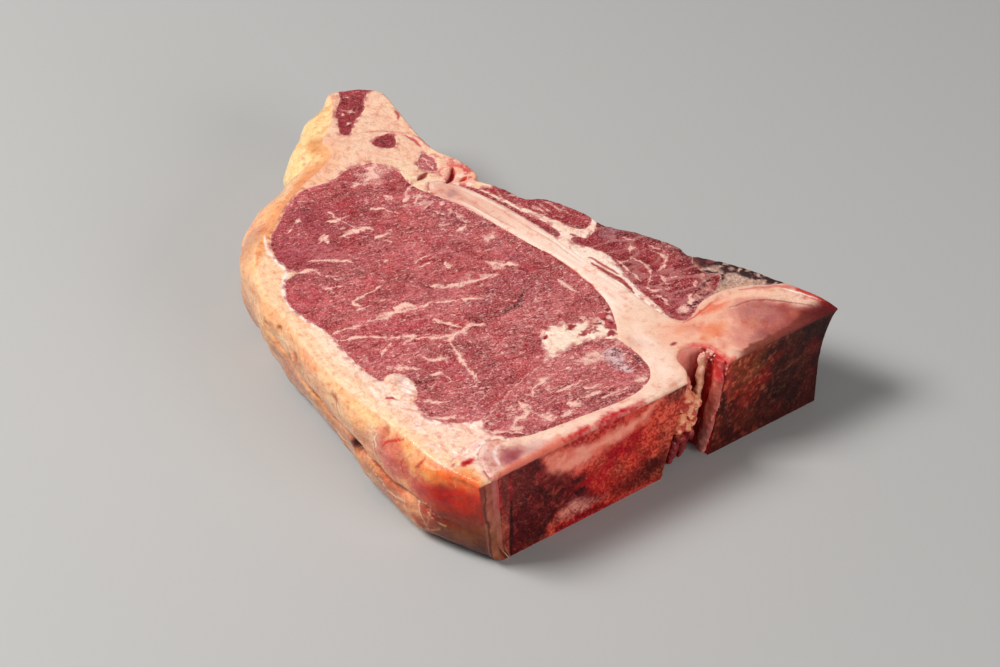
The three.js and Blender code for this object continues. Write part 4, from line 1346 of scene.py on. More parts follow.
def paint_stem_end(paint):
    """The torn flap of fat where the stem of the T ends."""
    flat = paint.plan
    flap = paint.patch(flat, [[66, 131], [73, 128], [80, 128], [82, 140], [77, 146],
                              [70, 141]], 1)
    around = paint.patch(flat, [[60, 140], [64, 148], [67, 156], [76, 158], [78, 146],
                                [70, 138]], 2, 2)
    paint.coat(flap * 0.6, "eca898")
    paint.mottles(flap, [[3.0, 87, 0.1, 0.5, 0.75, "c8484a"],
                         [2.0, 88, 0.2, 0.5, 0.7, "fbe0d6"]])
    paint.mottles(around, [[2.6, 89, 0, 0.5, 0.6, "c8585e"],
                           [1.8, 90, 0.2, 0.5, 0.6, "fbe4da"]])


def paint_fat_wedge(paint):
    """The cream fat between strip loin, chine muscle and bone, with islands of lean."""
    flat = paint.plan
    paint.coat(0.7, "fae4d6")
    paint.mottles(1, [[3, 84, 0.1, 0.6, 0.35, "f2c0ac"]])
    crumbs = paint.patch(flat, [[61, 46], [66, 48.6], [75, 47.6], [74.6, 38], [70, 33.6],
                                [65.6, 36.4], [63.6, 40.6]], 1.2, 1.8, 3)
    paint.coat(crumbs * 0.9, "b0404a")
    paint.mottles(crumbs, [[2.4, 89, 0.0, 0.45, 0.85, "701620"],
                           [1.7, 87, 0.1, 0.4, 0.9, "f4d4c6"]])
    for island in ((59.5, 38.8, 2.6, 1.6), (57, 43.8, 2.0, 0.9), (65.4, 33.6, 1.2, 1.6)):
        paint.coat(paint.spot(flat, *island, 0.1, 0.4, 1.1) * 0.9, "8e2430")
    paint.spots(flat, 1, [[59.6, 38.9, 1.0, 0.7, 0, 0.8, "d07c78"]])
    paint.lines(flat, 1, [[1.0, 0, 1.0, "9a1420", [[45.8, 44.4], [47.4, 45.4]]],
                          [1.4, 0.6, 0.5, "bc6068", [[36, 35], [40, 37.6], [43, 42]]]])


def paint_fat_front(paint):
    """The narrow sawn end of the fat rim."""
    face = paint.face
    face_x, height = face.T
    paint.coat(paint.sawn, "9c4c38")
    paint.coat(paint.sawn * smooth(24 - height, 0, 10) * 0.8, "844c2c")
    paint.mottles(paint.sawn, [[3, 91, 0.0, 0.6, 0.4, "c07860"],
                               [2.4, 92, 0.1, 0.6, 0.5, "8c2c28"]])
    paint.coat(paint.sawn * smooth(-9.6 - face_x, 0, 1.6) * 0.8, "842818")
    paint.lines(face, paint.sawn, [
        [0.6, 0.8, 0.85, "4c160e", [[-10.4, 37], [-10, 28], [-9.2, 20], [-8, 10], [-7, 2]]],
        [0.8, 0.8, 0.6, "b43838", [[-5.6, 36], [-5.2, 28], [-3.4, 22], [-1.5, 19]]],
        [1.6, 0.4, 0.9, "c42c1e", [[-12, 37.4], [-8, 37.2]]],
    ])


def paint_fat(paint, name):
    """Beef fat: golden at the rim, cream where cut, pinkish beside the lean."""
    paint.mottles(1, [[12, 81, -0.2, 0.9, 0.4, "f2c6a4"], [5, 82, 0.1, 0.9, 0.25, "ecb49c"]])
    if name == "fat_cap":
        paint_fat_cap(paint)
    else:
        paint_fat_wedge(paint)
    near_lean = np.exp(-((paint.seam / 1.1) ** 2)) * paint.cut
    near_lean *= smooth(paint.noise(1.9, 80), -0.1, 0.4)
    near_lean *= 1 - paint.spot(paint.plan, *TENDON_CENTRE, 7, 10, TENDON_TURN, 0.3)
    paint.coat(near_lean * 0.7, "a84850")
    over = np.clip(1 - paint.margin / 1.1, 0, 1) * paint.cut * (1 - smooth(paint.run, 245, 300))
    paint_fat_skin(paint, np.maximum(paint.outside, over * 0.8))
    if name == "fat_cap":
        paint_fat_front(paint)
    paint.gloss[:] = 0.4 + paint.outside * (0.5 - 0.7 * (1 - smooth(paint.run, 10, 30)))


def paint_stem(paint):
    """The cut face of the bone: the stem, whiter towards the crossing, and its ends."""
    flat = paint.plan
    x, y = flat.T
    upper = paint.cut
    stripe = noise_over(x * 1.2 + y * 0.22, y / 12, 1.6, 94)
    on_stem = smooth(y, 34, 50)
    far = smooth(y, 75, 120)
    paint.coat(upper * on_stem * 0.6, "fae2d6")
    paint.coat(upper * far * 0.6, "dca690")
    paint.coat(upper * on_stem * smooth(stripe, 0.0, 0.7) * (0.15 + 0.35 * far), "d08c80")
    paint.coat(upper * on_stem * smooth(-stripe, 0.2, 0.8) * 0.4, "fae6dc")
    rim_line = np.exp(-(((paint.seam - 1.2) / 0.8) ** 2)) * on_stem
    paint.coat(upper * rim_line * 0.5, "fae8da")
    paint.lines(flat, upper, [
        [0.8, 0.3, 0.9, "a81c28", [[74.4, 49], [75, 58], [74.8, 70], [73.4, 82]]],
        [0.35, 0.4, 0.5, "b87870", [[66.5, 124], [69.6, 112], [72.6, 98]]],
        [0.35, 0.4, 0.45, "c08878", [[76, 100], [78.4, 86], [80, 70]]],
    ])
    paint.spots(flat, upper, [
        # The head of the stem and the lamina.
        [66, 130, 5, 8, -0.3, 0.5, "cf9184"], [66.5, 127, 2, 2, 0, 0.5, "a07478"],
        [6, 5, 9, 3.6, -0.15, 0.65, "b06a6c"], [2, 6, 3, 4, 0, 0.55, "903c48"],
        [5, 4.4, 2.6, 1.6, 0.2, 0.6, "88303a"], [12, 4, 3, 1.6, 0, 0.45, "c8a49e"],
        [18, 2.2, 5, 1.8, 0.1, 0.6, "d06458"], [62, 4, 6, 3, 0.3, 0.15, "b88a74"],
        [66, 1.6, 4, 1.2, 0.3, 0.3, "986450"], [72, 20, 4, 5, 0, 0.25, "c99080"],
        [69, 26, 2.4, 3, 0, 0.35, "c89a90"], [57, 8, 5, 2.4, 0, 0.5, "fad8c8"],
    ])
    front_edge = upper * smooth(3.0 - y, 0, 2.5)
    paint.coat(front_edge * (1 - smooth(x, 24, 36)) * 0.8, "cc5c4a")
    along = smooth(x, 16, 24) * (1 - smooth(x, 56, 64))
    along *= smooth(3.4 - y, 0, 2)
    paint.fleck[:] = upper * along * 0.22
    for outline in ([[20, -1], [24, 2.2], [28, 4.4], [32, 3], [32, -1]],
                    [[33, -1], [36, 2.4], [41, 4.2], [47, 3.6], [52, 2], [52, -1]]):
        blot = upper * paint.patch(flat, outline, 2.2, 1.8, 3)
        paint.fleck += blot * 0.36
        paint.coat(blot * 0.6, "dc7470")
    paint.patches(flat, upper, [
        [2.5, 1.5, 0.5, "fae2d6", [[12, 7], [30, 5], [56, 4], [64, 9], [70, 30], [76, 32], [73, 14],
                                   [68, 2], [40, 2.4], [12, 4]]],
        # The crossing and the vertebral body, right of the canal.
        [5, 2, 0.6, "eca68c", [[74, 17], [84, 14], [90, 4], [102, 2], [112, 10], [122, 16],
                               [116, 27], [104, 28], [92, 25], [80, 27]]],
        [2.4, 1.6, 0.75, "cc8074", [[91, -2], [94, 6], [102, 12], [105, 20], [112, 21.4],
                                    [117, 19.4], [122, 14], [127, 8], [131, 2], [131, -2]]],
        [2.4, 1.8, 0.65, "bc6860", [[106, -2], [104, 12], [108, 19.6], [115, 18.6], [121, 13.4],
                                   [126, 7.4], [130, 2], [130, -2]]],
        [4.0, 1.8, 0.6, "8c3432", [[116, -2], [115, 8], [117, 14.6], [121, 12.4], [126, 6.4],
                                   [130, 1], [130, -2]]],
        [3, 1.5, 0.3, "b08480", [[106, 10], [106, 20], [113, 20.4], [119, 16], [116, 9]]],
    ])


def paint_vertebra(paint):
    """The cut face of the vertebral body, right of the canal, and the canal's rim."""
    flat = paint.plan
    x, y = flat.T
    upper = paint.cut
    paint.mottles(upper * smooth(x, 82, 90), [[6, 100, 0, 0.7, 0.35, "e08c64"],
                                              [4, 99, 0.1, 0.6, 0.3, "cc7470"]])
    paint.spots(flat, upper, [
        [93, 15, 4.5, 3.6, 0, 0.6, "e47448"], [101, 24.4, 5.5, 2, 0, 0.7, "e0684c"],
        [86, 21.5, 4, 1.6, -0.2, 0.4, "e48a68"], [78.6, 17.4, 1.2, 0.7, 0, 0.9, "842c30"],
        [105, 4, 4, 2.2, 0.2, 0.5, "8a4c4c"], [123, 2.6, 4, 1.8, 0.3, 0.6, "5c2428"],
        [112, 8, 3, 2, 0.3, 0.4, "964a50"],
    ])
    paint.lines(flat, upper, [
        [0.5, 0.9, 0.5, "7c3034", [[129.6, 1.6], [126.6, 8], [121.6, 14], [116.6, 18.8], [112, 20.8],
                                   [105.5, 21.2]]],
        [1.8, 0.5, 0.6, "f2c4ac", [[132, 5], [127.6, 12.6], [120, 20.4], [112, 24], [103, 25.4]]],
        [1.0, 0.5, 0.65, "cc6464", [[134, 8], [129, 17], [122, 23], [114, 26.6]]],
        [2.4, 0.5, 0.85, "c43c34", [[134.6, 0], [133.4, 8], [130, 15]]],
        # Painted highlight: a glint along the corner's rim.
        [0.4, 0.4, 0.9, "fff0e8", [[126, 18.6], [130.4, 12], [132.6, 6]]],
        [0.5, 0.6, 0.7, "c84c40", [[88, 23.6], [95, 25], [103, 26.6]]],
    ])
    paint.fleck += upper * paint.line(flat, 2.6, [[134, 0], [132, 7], [128, 13]], 0.5) * 0.25
    front = upper * smooth(x, 90, 96)
    ragged_edge = 2.6 + 2.4 * paint.noise(4, 110) + 1.6 * smooth(x, 100, 124)
    paint.coat(front * smooth(ragged_edge - y, 0, 2.0) * 0.8, "6c3226")
    paint.coat(front * smooth(7 - y, 0, 6) * smooth(x, 98, 112) * 0.6, "7c3630")
    paint.coat(front * smooth(9 - y, 0, 7) * smooth(x, 117, 131) * 0.9, "541418")
    rim_of_canal = smooth(2.2 - paint.margin, 0, 2) * paint.patch(
        flat, [[69, -1], [72, 12], [78, 16.5], [86, 16], [92, 8], [91, -1]], 0.5, 0)
    right_part = smooth(x, 79, 83)
    paint.fleck += upper * rim_of_canal * right_part * 0.36
    paint.coat(upper * rim_of_canal * right_part * 0.6, "dc5c54")
    paint.coat(upper * rim_of_canal * (1 - right_part) * 0.5, "e49a84")


def paint_sawn_left(paint):
    """The sawn face on the left of the canal."""
    face = paint.face
    face_x, height = face.T
    sawn = paint.sawn
    left_side = sawn * (face_x < CANAL_MIDDLE)
    saw_marks = noise_over(face_x * 0.85 + height * 0.5,
                           (height * 0.85 - face_x * 0.5) / 16, 1.3, 97)
    paint.coat(sawn, "dc4c38")
    paint.pore[:] = sawn * 0.6
    paint.coat(sawn * smooth(face_x, 50, 64) * 0.75, "ee7c58")
    paint.mottles(sawn, [[5, 95, 0.1, 0.6, 0.35, "ec8a60"], [4, 96, 0.1, 0.6, 0.4, "b82c30"]])
    body_left = paint.patch(face, [[-9, 40], [10, 36], [14, 32], [18, 28], [22, 24], [28, 20],
                                   [31, 14], [34, 9], [36, 6], [30, 6], [20, 9], [16, 8], [14, 3],
                                   [10, -3], [-9, -3]], 2, 2.2)
    band = paint.patch(face, [[12, 36], [20, 35], [33, 33], [48, 34], [58, 37], [60, 38.5],
                              [55, 33], [50, 28], [40, 27], [33, 26], [26, 24], [20, 25],
                              [16, 29]], 3.0, 2.2)
    paint.coat(sawn * body_left * 0.97, "5a0f18")
    paint.mottles(sawn * body_left, [[5, 94, 0.0, 0.6, 0.6, "8a3426"],
                                     [2.2, 98, 0.15, 0.5, 0.6, "a8503c"],
                                     [3, 99, -0.1, -0.6, 0.6, "2e080c"]])
    paint.patches(face, sawn, [
        [2, 1.6, 0.6, "6e302a", [[0, 38], [11, 35], [13, 31], [8, 24], [0, 22]]],
        [1.4, 1.0, 0.7, "cc5c48", [[8, 40], [8, 37.2], [18, 35.6], [28, 33.6], [34, 35], [34, 40]]],
        [2.2, 1.4, 0.9, "e0ac94", [[17, 4], [20, 8], [24, 12], [28, 11], [33, 7], [38, 5], [30, 3.4],
                                   [22, 2.6]]],
        [1.5, 1.5, 0.5, "c04438", [[58, 40], [72, 40], [68, 34], [60, 35]]],
    ])
    paint.coat(sawn * band * (0.96 - 0.35 * smooth(paint.noise(4, 103), 0.1, 0.6)), "f2b898")
    paint.pore -= sawn * (band * 0.5 + body_left * 0.15)
    paint.spots(face, sawn, [
        [12, 29, 2.2, 2.0, 0, 0.9, "a83838"], [58, 7, 7, 5.5, 0, 0.85, "4c1410"],
        [47, 6, 7, 4, 0, 0.6, "70201a"], [62, 15, 3, 7, 0.1, 0.45, "84301e"],
        [66, 36, 4, 3.4, 0, 0.7, "7c4a34"], [59.5, 3, 2.4, 2.0, 0, 0.5, "d87a48"],
        [10, 6, 8, 5, 0, 0.5, "3a0a0e"], [43, 14, 3, 3, 0.4, 0.5, "ee9c6c"],
        [36, 22, 3, 1.6, 0.3, 0.5, "f0a070"],
    ])
    for outline in ([[24, 32.6], [28, 34], [31, 33], [32, 40], [26.6, 40]],
                    [[33.6, 34], [40, 35.4], [46, 36], [51, 40], [35, 40]]):
        blot = sawn * paint.patch(face, outline, 2.0, 1.6, 3)
        paint.fleck += blot * 0.42
        paint.coat(blot * 0.5, "d04844")
    for *clot, deep in ((40, 20, 9, 5, 0.5), (35, 11, 6, 6, 0.42), (50, 27, 2.5, 2.5, 0.45),
                        (45, 24, 6, 3, 0.4), (24, 17, 4, 3, 0.3), (57, 18, 4, 5, 0.2)):
        paint.fleck += sawn * paint.spot(face, *clot, 0, 0.8, 0.7) * deep * 0.8
    by_strap = sawn * (1 - smooth(face_x + 0.8 * paint.noise(3, 112), -1.2, 0.6))
    paint.coat(by_strap * 0.9, "84463a")
    low_strap = 1 - smooth(height + 1.5 * paint.noise(3, 113), 17, 21)
    paint.coat(by_strap * low_strap * 0.85, "b4684c")
    paint.mottles(by_strap, [[2.4, 114, 0.1, 0.6, 0.5, "5c2420"],
                             [2, 115, 0.2, 0.6, 0.4, "b8645a"]])
    paint.lines(face, by_strap, [
        [0.9, 0.6, 0.8, "b0282c", [[-4.4, 37], [-4.3, 30], [-3.6, 24], [-2.4, 20]]],
    ])
    paint.lines(face, left_side, [
        [0.8, 0.6, 0.8, "a82028", [[0.6, 37], [0.2, 30], [-0.4, 22]]],
        [1.8, 0.7, 0.95, "a00c1c", [[18, 1.6], [30, 2], [40, 1.6]]],
        [0.9, 0.5, 0.7, "b83c38", [[38, 0.8], [54, 0.8], [69, 0.8]]],
        [1.0, 0.6, 0.9, "2c0408", [[0.4, 24], [0, 18], [0.2, 10], [0.4, 0]]],
    ])
    paint.coat(left_side * smooth(saw_marks, 0.2, 0.7) * (0.08 + 0.4 * band), "f0b89c")
    paint.coat(left_side * smooth(-saw_marks, 0.2, 0.7) * 0.2 * (1 - band), "6c1a1c")


def paint_sawn_right(paint):
    """The sawn face on the right of the canal, and the shade on both sawn faces."""
    face = paint.face
    face_x, height = face.T
    right_side = paint.sawn * (face_x > CANAL_MIDDLE)
    paint.coat(right_side, "5c1812")
    paint.mottles(right_side, [
        [8, 96, 0, 0.6, 0.7, "a42418"], [6, 104, -0.1, -0.6, 0.7, "2c0c0a"],
        [2.8, 105, 0.15, 0.6, 0.55, "b46038"], [3.4, 106, 0.1, 0.6, 0.45, "380c0a"],
        [5, 110, 0.2, 0.6, 0.35, "8c6038"],
    ])
    paint.patches(face, right_side, [
        [3, 2, 0.5, "86542e", [[87, 39], [104, 39], [105, 26], [95, 24], [87, 26]]],
        [1.6, 1, 0.85, "340808", [[118, 39], [137, 39], [134, 32], [129, 27], [122, 30]]],
    ])
    paint.spots(face, right_side, [
        [104.5, 22, 3, 2.5, 0, 0.7, "9a1418"], [125.5, 26, 2.6, 3.6, 0, 0.85, "b02828"],
        [123.5, 8, 2.8, 6, -0.25, 0.8, "a83c34"], [124, 18, 2, 3, 0, 0.6, "842018"],
        [98, 17, 5, 3, 0.5, 0.6, "a83020"], [110, 30, 5, 2.4, 0.3, 0.5, "8c2418"],
        [100, 28, 5, 2, 0.5, 0.5, "9c6a40"], [93, 33, 4, 3, 0.3, 0.4, "9c6038"],
        [96, 10, 4, 3, 0, 0.5, "8c4c30"], [111, 14, 5, 5, 0, 0.6, "220a08"],
        [88, 32, 2, 9, 0, 0.4, "c0504a"], [106, 33, 5, 2, 0.2, 0.5, "301410"],
    ])
    paint.lines(face, right_side, [
        [0.6, 0.5, 0.75, "b47858", [[110, 23], [114, 22], [119, 23.6], [124, 25.6]]],
    ])
    specks = smooth(paint.noise(1.2, 107, 2), 0.42, 0.62) * (1 - smooth(face_x, 100, 125))
    paint.coat(right_side * specks * 0.7, "dc9070")
    # Painted shade: darker towards the far end of the face and towards the floor.
    paint.coat(right_side * smooth(face_x, 102, 122) * 0.5, "2c0a08")
    paint.coat(right_side * smooth(28 - height, 0, 24) * 0.45, "300a0a")
    paint.pore -= right_side * 0.25
    paint.coat(right_side * smooth(height, 36.2, 37.6) * 0.5, "a86450")

    # The sawn faces lie in the shade, where only deep colours stay saturated.
    paint.colour *= 1 - (paint.sawn - right_side)[:, None] * np.array([0.0, 0.32, 0.24])
    paint.colour *= 1 - right_side[:, None] * np.array([0.0, 0.5, 0.55])
    paint.colour[:, 0] *= 1 - 0.32 * right_side * smooth(face_x, 92, 106)


def paint_canal_wall(paint):
    """The canal's wall, with painted shade deep down and painted highlights near its top, and the dried
    outer edge of the vertebral body.
    """
    x, y = paint.plan.T
    height = paint.height
    canal = paint.outside * (x > CANAL_LEFT - 1) * (x < CANAL_RIGHT + 1)
    canal *= y < CANAL_DEEP + 0.5
    paint.coat(canal, "ee988c")
    paint.mottles(canal, [[3, 97, 0.1, 0.7, 0.4, "f4b4a8"], [4, 98, 0.1, 0.7, 0.4, "c0706a"]])
    right_wall = canal * smooth(x, 84, 86)
    # Painted shade deep in the canal.
    paint.coat(canal * smooth(18 - height, 0, 9) * 0.85, "641016")
    paint.coat(right_wall * 0.9, "8c1018")
    paint.coat(right_wall * smooth(x, 86, 88) * 0.7, "e04038")
    paint.mottles(right_wall, [[2.4, 101, 0.15, 0.5, 0.7, "f89a8c"],
                               [3, 102, 0.1, 0.5, 0.6, "7c0c18"]])
    # Painted highlights: wet glints near the top of the right wall.
    paint.mottles(right_wall * smooth(height, 30, 34), [[1.5, 111, 0.1, 0.4, 0.8, "fbdcd4"]])
    paint.fleck += canal * 0.2 * smooth(17 - height, 0, 8)
    outer = paint.outside * (canal == 0)
    paint.coat(outer, "6e2a24")
    paint.mottles(outer, [[6, 98, 0, 0.7, 0.6, "3c1014"], [4, 99, 0.2, 0.8, 0.5, "a86c54"]])
    paint.gloss += canal * 0.5


def paint_bone(paint, name):
    """Sawn bone: cream and dense at its rims, pink, red and porous inside."""
    paint.gloss[:] = 0.4 + paint.sawn * 0.4
    paint.mottles(1, [[14, 91, -0.1, 0.9, 0.4, "f2d0b8"], [5, 92, 0, 0.9, 0.25, "e2a08c"]])
    paint_stem(paint)
    paint_vertebra(paint)
    paint_sawn_left(paint)
    paint_sawn_right(paint)
    paint_canal_wall(paint)
    x, y = paint.plan.T
    body = smooth(x, 100, 106) * (1 - smooth(y, 17, 21))
    paint.pore += paint.cut * (body * 0.16 + 0.04)


def paint_sinew(paint, name):
    """Moist, pearly tendon and ligament."""
    flat = paint.plan
    x, y = flat.T
    if name == "backstrap":
        paint.mottles(1, [[6, 101, -0.3, 0.7, 0.6, "cc8078"]])
        paint.coat(paint.spot(flat, -2.4, 6.5, 2.4, 3.8, -0.4, 0.7) * 0.6, "c0867e")
        paint.coat(np.exp(-((paint.seam / 1.1) ** 2)) * paint.cut * 0.6, "e4b49e")
        paint.lines(flat, 1, [
            [1.0, 0, 0.85, "ecd6d4", [[-1.6, 4], [0, 8.4], [3.4, 11.4]]],
            [0.9, 0, 0.7, "e8c8c0", [[-6, 3], [-5, 8.6], [-1.4, 12.6], [4, 13]]],
            [0.9, 0, 0.6, "f2e0da", [[-6.6, 0.5], [-7, 5]]],
        ])
        paint.coat(smooth(1.6 - y, 0, 1.2) * paint.cut * 0.6, "cf6f5c")
        paint.coat(paint.sawn * 0.97, "a8544a")
        paint.mottles(paint.sawn, [[3, 103, 0.1, 0.6, 0.4, "c47c6c"],
                                   [4, 104, 0.1, 0.6, 0.5, "8c302c"]])
        paint.rises(paint.sawn, paint.height, [[24, 16, 0.7, "98583c"], [6, 1, 0.6, "6a2c18"]])
        paint.lines(paint.face, paint.sawn, [
            [0.7, 0.6, 0.6, "b0282c", [[-5.4, 36], [-5, 28], [-3.5, 22], [-1.6, 19]]],
            [1.0, 0.5, 0.8, "7c1018", [[0.4, 37], [0.3, 20], [0.4, 2]]],
        ])
    if name == "tendon":
        stripes = noise_over(x * 0.9 + y * 0.45, y / 8, 1.1, 102, 2)
        paint.coat(0.6, "ead8ce")
        paint.coat(smooth(stripes, 0, 0.6) * 0.8, "fcf6f2")
        paint.coat(smooth(-stripes, 0.1, 0.7) * 0.4, "cba090")
        paint.coat(paint.spot(flat, -4.5, 56, 3, 2.4, 0.5, 0.8) * 0.5, "c09c94")
        on_left = 1 - smooth(x - 0.25 * (y - 52), -8.5, -3.5)
        paint.coat(on_left * 0.7, "f0cfb4")
        paint.coat(np.exp(-((paint.seam / 1.3) ** 2)) * 0.7, "f0ceb6")
    paint.gloss[:] = 0.75


def paint_dried_fat(paint, name):
    """Dry-aged kidney fat: grey-beige with a blackened crust along the outside."""
    flat = paint.plan
    x, y = flat.T
    edge = smooth(4.8 - paint.margin + 2.6 * paint.noise(3, 115, 3), 0, 2.0)
    crust = edge * smooth(x - 0.4 * y, 92, 98)
    crust = np.maximum(crust, paint.line(flat, 1.3, [[109, 36], [112.5, 35], [116, 36.6]], 0.9, 2))
    crust = np.maximum(crust, paint.line(flat, 1.0, [[110, 42], [112, 39], [115, 38]], 0.9, 2))
    crust *= smooth(paint.noise(1.8, 111, 3), -0.6, 0.0)
    paint.mottles(1, [[4, 112, 0, 0.8, 0.5, "9c7868"], [3, 116, -0.1, -0.7, 0.5, "dcbcaa"]])
    paint.patches(flat, 1, [
        [1, 1, 0.85, "6e2a2a", [[110, 43], [112, 50], [116, 51], [119, 45], [116, 42]]],
    ])
    paint.lines(flat, 1, [
        [1.1, 0.4, 0.9, "e0a890", [[109.8, 45.4], [111.4, 50], [114, 50.8], [118, 46.6]]],
        [1.6, 0.5, 0.6, "cf9c84", [[103, 29.6], [110, 30.4], [117, 28.4], [123, 25]]],
    ])
    paint.coat(crust * 0.93, "2e1216")
    paint.coat(crust * smooth(paint.noise(2.4, 117, 2), 0.3, 0.6) * 0.6, "5c1418")
    paint.coat(paint.wall * 0.85, "4a2e26")
    paint.mottles(paint.wall, [[5, 113, 0, 0.6, 0.8, "1c100e"], [3, 114, 0.3, 0.8, 0.6, "8c6a54"]])
    paint.gloss[:] = 0.2


# Each material slot's painter and base colour.
PAINTERS = {
    "lean": (paint_lean, "ba5153"),
    "fat": (paint_fat, "f0cfb0"),
    "bone": (paint_bone, "ebc6b0"),
    "sinew": (paint_sinew, "e0b4a8"),
    "dried_fat": (paint_dried_fat, "cfa898"),
}

# ----------------------------------------------------------------------------------------------
# Materials
# ----------------------------------------------------------------------------------------------


class Graph:
    """Short names for building a material's nodes."""

    def __init__(self, name):
        self.material = bpy.data.materials.new(name)
        self.material.use_nodes = True
        self.tree = self.material.node_tree
        self.shader = self.tree.nodes["Principled BSDF"]
        self.place = self.tree.nodes.new("ShaderNodeTexCoord").outputs["Object"]

    def put(self, socket, value):
        """Links a node's output to the socket, or sets a plain value on it."""
        if isinstance(value, bpy.types.NodeSocket):
            self.tree.links.new(value, socket)
        else:
            socket.default_value = value

    def attribute(self, name, output="Fac"):
        """One of the piece's masks, or its colour."""
        node = self.tree.nodes.new("ShaderNodeAttribute")
        node.attribute_name = name
        return node.outputs[output]

    def math(self, operation, first, second=0.0):
        """One sum, product or the like of two values."""
        node = self.tree.nodes.new("ShaderNodeMath")
        node.operation = operation
        self.put(node.inputs[0], first)
        self.put(node.inputs[1], second)
        return node.outputs[0]

    def plus(self, first, second, times):
        """The first value with the second one added so many times."""
        return self.math("ADD", first, self.math("MULTIPLY", second, times))

    def noise(self, size, detail, roughness, place=None):
        """Noise from 0 to 1 whose features measure size mm."""
        node = self.tree.nodes.new("ShaderNodeTexNoise")
        self.put(node.inputs["Vector"], place or self.place)
        node.inputs["Scale"].default_value = 1 / (size * MM)
        node.inputs["Detail"].default_value = detail
        node.inputs["Roughness"].default_value = roughness
        return node.outputs["Fac"]

    def uneven(self, size, detail, roughness, place=None):
        """Noise from -0.5 to 0.5."""
        return self.math("SUBTRACT", self.noise(size, detail, roughness, place), 0.5)

    def along_grain(self, stretch):
        """The place with everything drawn out along the grain of the muscles."""
        node = self.tree.nodes.new("ShaderNodeMapping")
        node.vector_type = "TEXTURE"
        node.inputs["Rotation"].default_value = (0, 0, math.radians(GRAIN_TURN))
        node.inputs["Scale"].default_value = (stretch, 1, 1)
        self.put(node.inputs["Vector"], self.place)
        return node.outputs[0]

    def warped(self, size, amount, place=None):
        """The place, pushed about by noise of one size by up to amount mm."""
        node = self.tree.nodes.new("ShaderNodeTexNoise")
        self.put(node.inputs["Vector"], self.place)
        node.inputs["Scale"].default_value = 1 / (size * MM)
        node.inputs["Detail"].default_value = 2.0
        centred = self.tree.nodes.new("ShaderNodeVectorMath")
        centred.operation = "SUBTRACT"
        self.put(centred.inputs[0], node.outputs["Color"])
        centred.inputs[1].default_value = (0.5, 0.5, 0.5)
        moved = self.tree.nodes.new("ShaderNodeVectorMath")
        moved.operation = "MULTIPLY_ADD"
        self.put(moved.inputs[0], centred.outputs[0])
        moved.inputs[1].default_value = (2 * amount * MM,) * 3
        self.put(moved.inputs[2], place or self.place)
        return moved.outputs[0]

    def cells(self, size, place):
        """The distance to the nearest edge between cells of size mm."""
        node = self.tree.nodes.new("ShaderNodeTexVoronoi")
        node.feature = "DISTANCE_TO_EDGE"
        self.put(node.inputs["Vector"], place)
        node.inputs["Scale"].default_value = 1 / (size * MM)
        return node.outputs["Distance"]

    def rise(self, value, low, high):
        """0 below low, 1 above high, smooth between."""
        node = self.tree.nodes.new("ShaderNodeMapRange")
        node.interpolation_type = "SMOOTHSTEP"
        self.put(node.inputs["Value"], value)
        self.put(node.inputs["From Min"], low)
        self.put(node.inputs["From Max"], high)
        return node.outputs["Result"]

    def span(self, value, low, high):
        """A value from 0 to 1 spread evenly from low to high."""
        node = self.tree.nodes.new("ShaderNodeMapRange")
        self.put(node.inputs["Value"], value)
        node.inputs["To Min"].default_value = low
        node.inputs["To Max"].default_value = high
        return node.outputs["Result"]

    def mix(self, amount, first, second, blend="MIX", share=1.0):
        """The first colour under the second one, which is as thick as amount times share."""
        if share != 1.0:
            amount = self.math("MULTIPLY", amount, share)
        node = self.tree.nodes.new("ShaderNodeMix")
        node.data_type = "RGBA"
        node.blend_type = blend
        self.put(node.inputs["Factor"], amount)
        for socket, value in ((node.inputs["A"], first), (node.inputs["B"], second)):
            if isinstance(value, str):
                socket.default_value = (*linear(value), 1)
            else:
                self.put(socket, value)
        return node.outputs["Result"]

    def bump(self, height, strength, distance):
        """The normal of a surface with a relief of distance mm."""
        node = self.tree.nodes.new("ShaderNodeBump")
        node.inputs["Strength"].default_value = strength
        node.inputs["Distance"].default_value = distance * MM
        self.put(node.inputs["Height"], height)
        return node.outputs["Normal"]

    def finish(self, colour, roughness, normal, values):
        """Links what varies to the shader, sets its plain values and gives the material."""
        inputs = self.shader.inputs
        self.put(inputs["Base Color"], colour)
        self.put(inputs["Roughness"], roughness)
        self.put(inputs["Normal"], normal)
        for name, value in values.items():
            inputs[name].default_value = value
        return self.material


def mottled(graph, colour, value, low, high):
    """The colour made darker or lighter, low to high times as bright, as a value goes 0 to 1."""
    return graph.mix(1.0, colour, graph.span(value, low, high), "MULTIPLY")


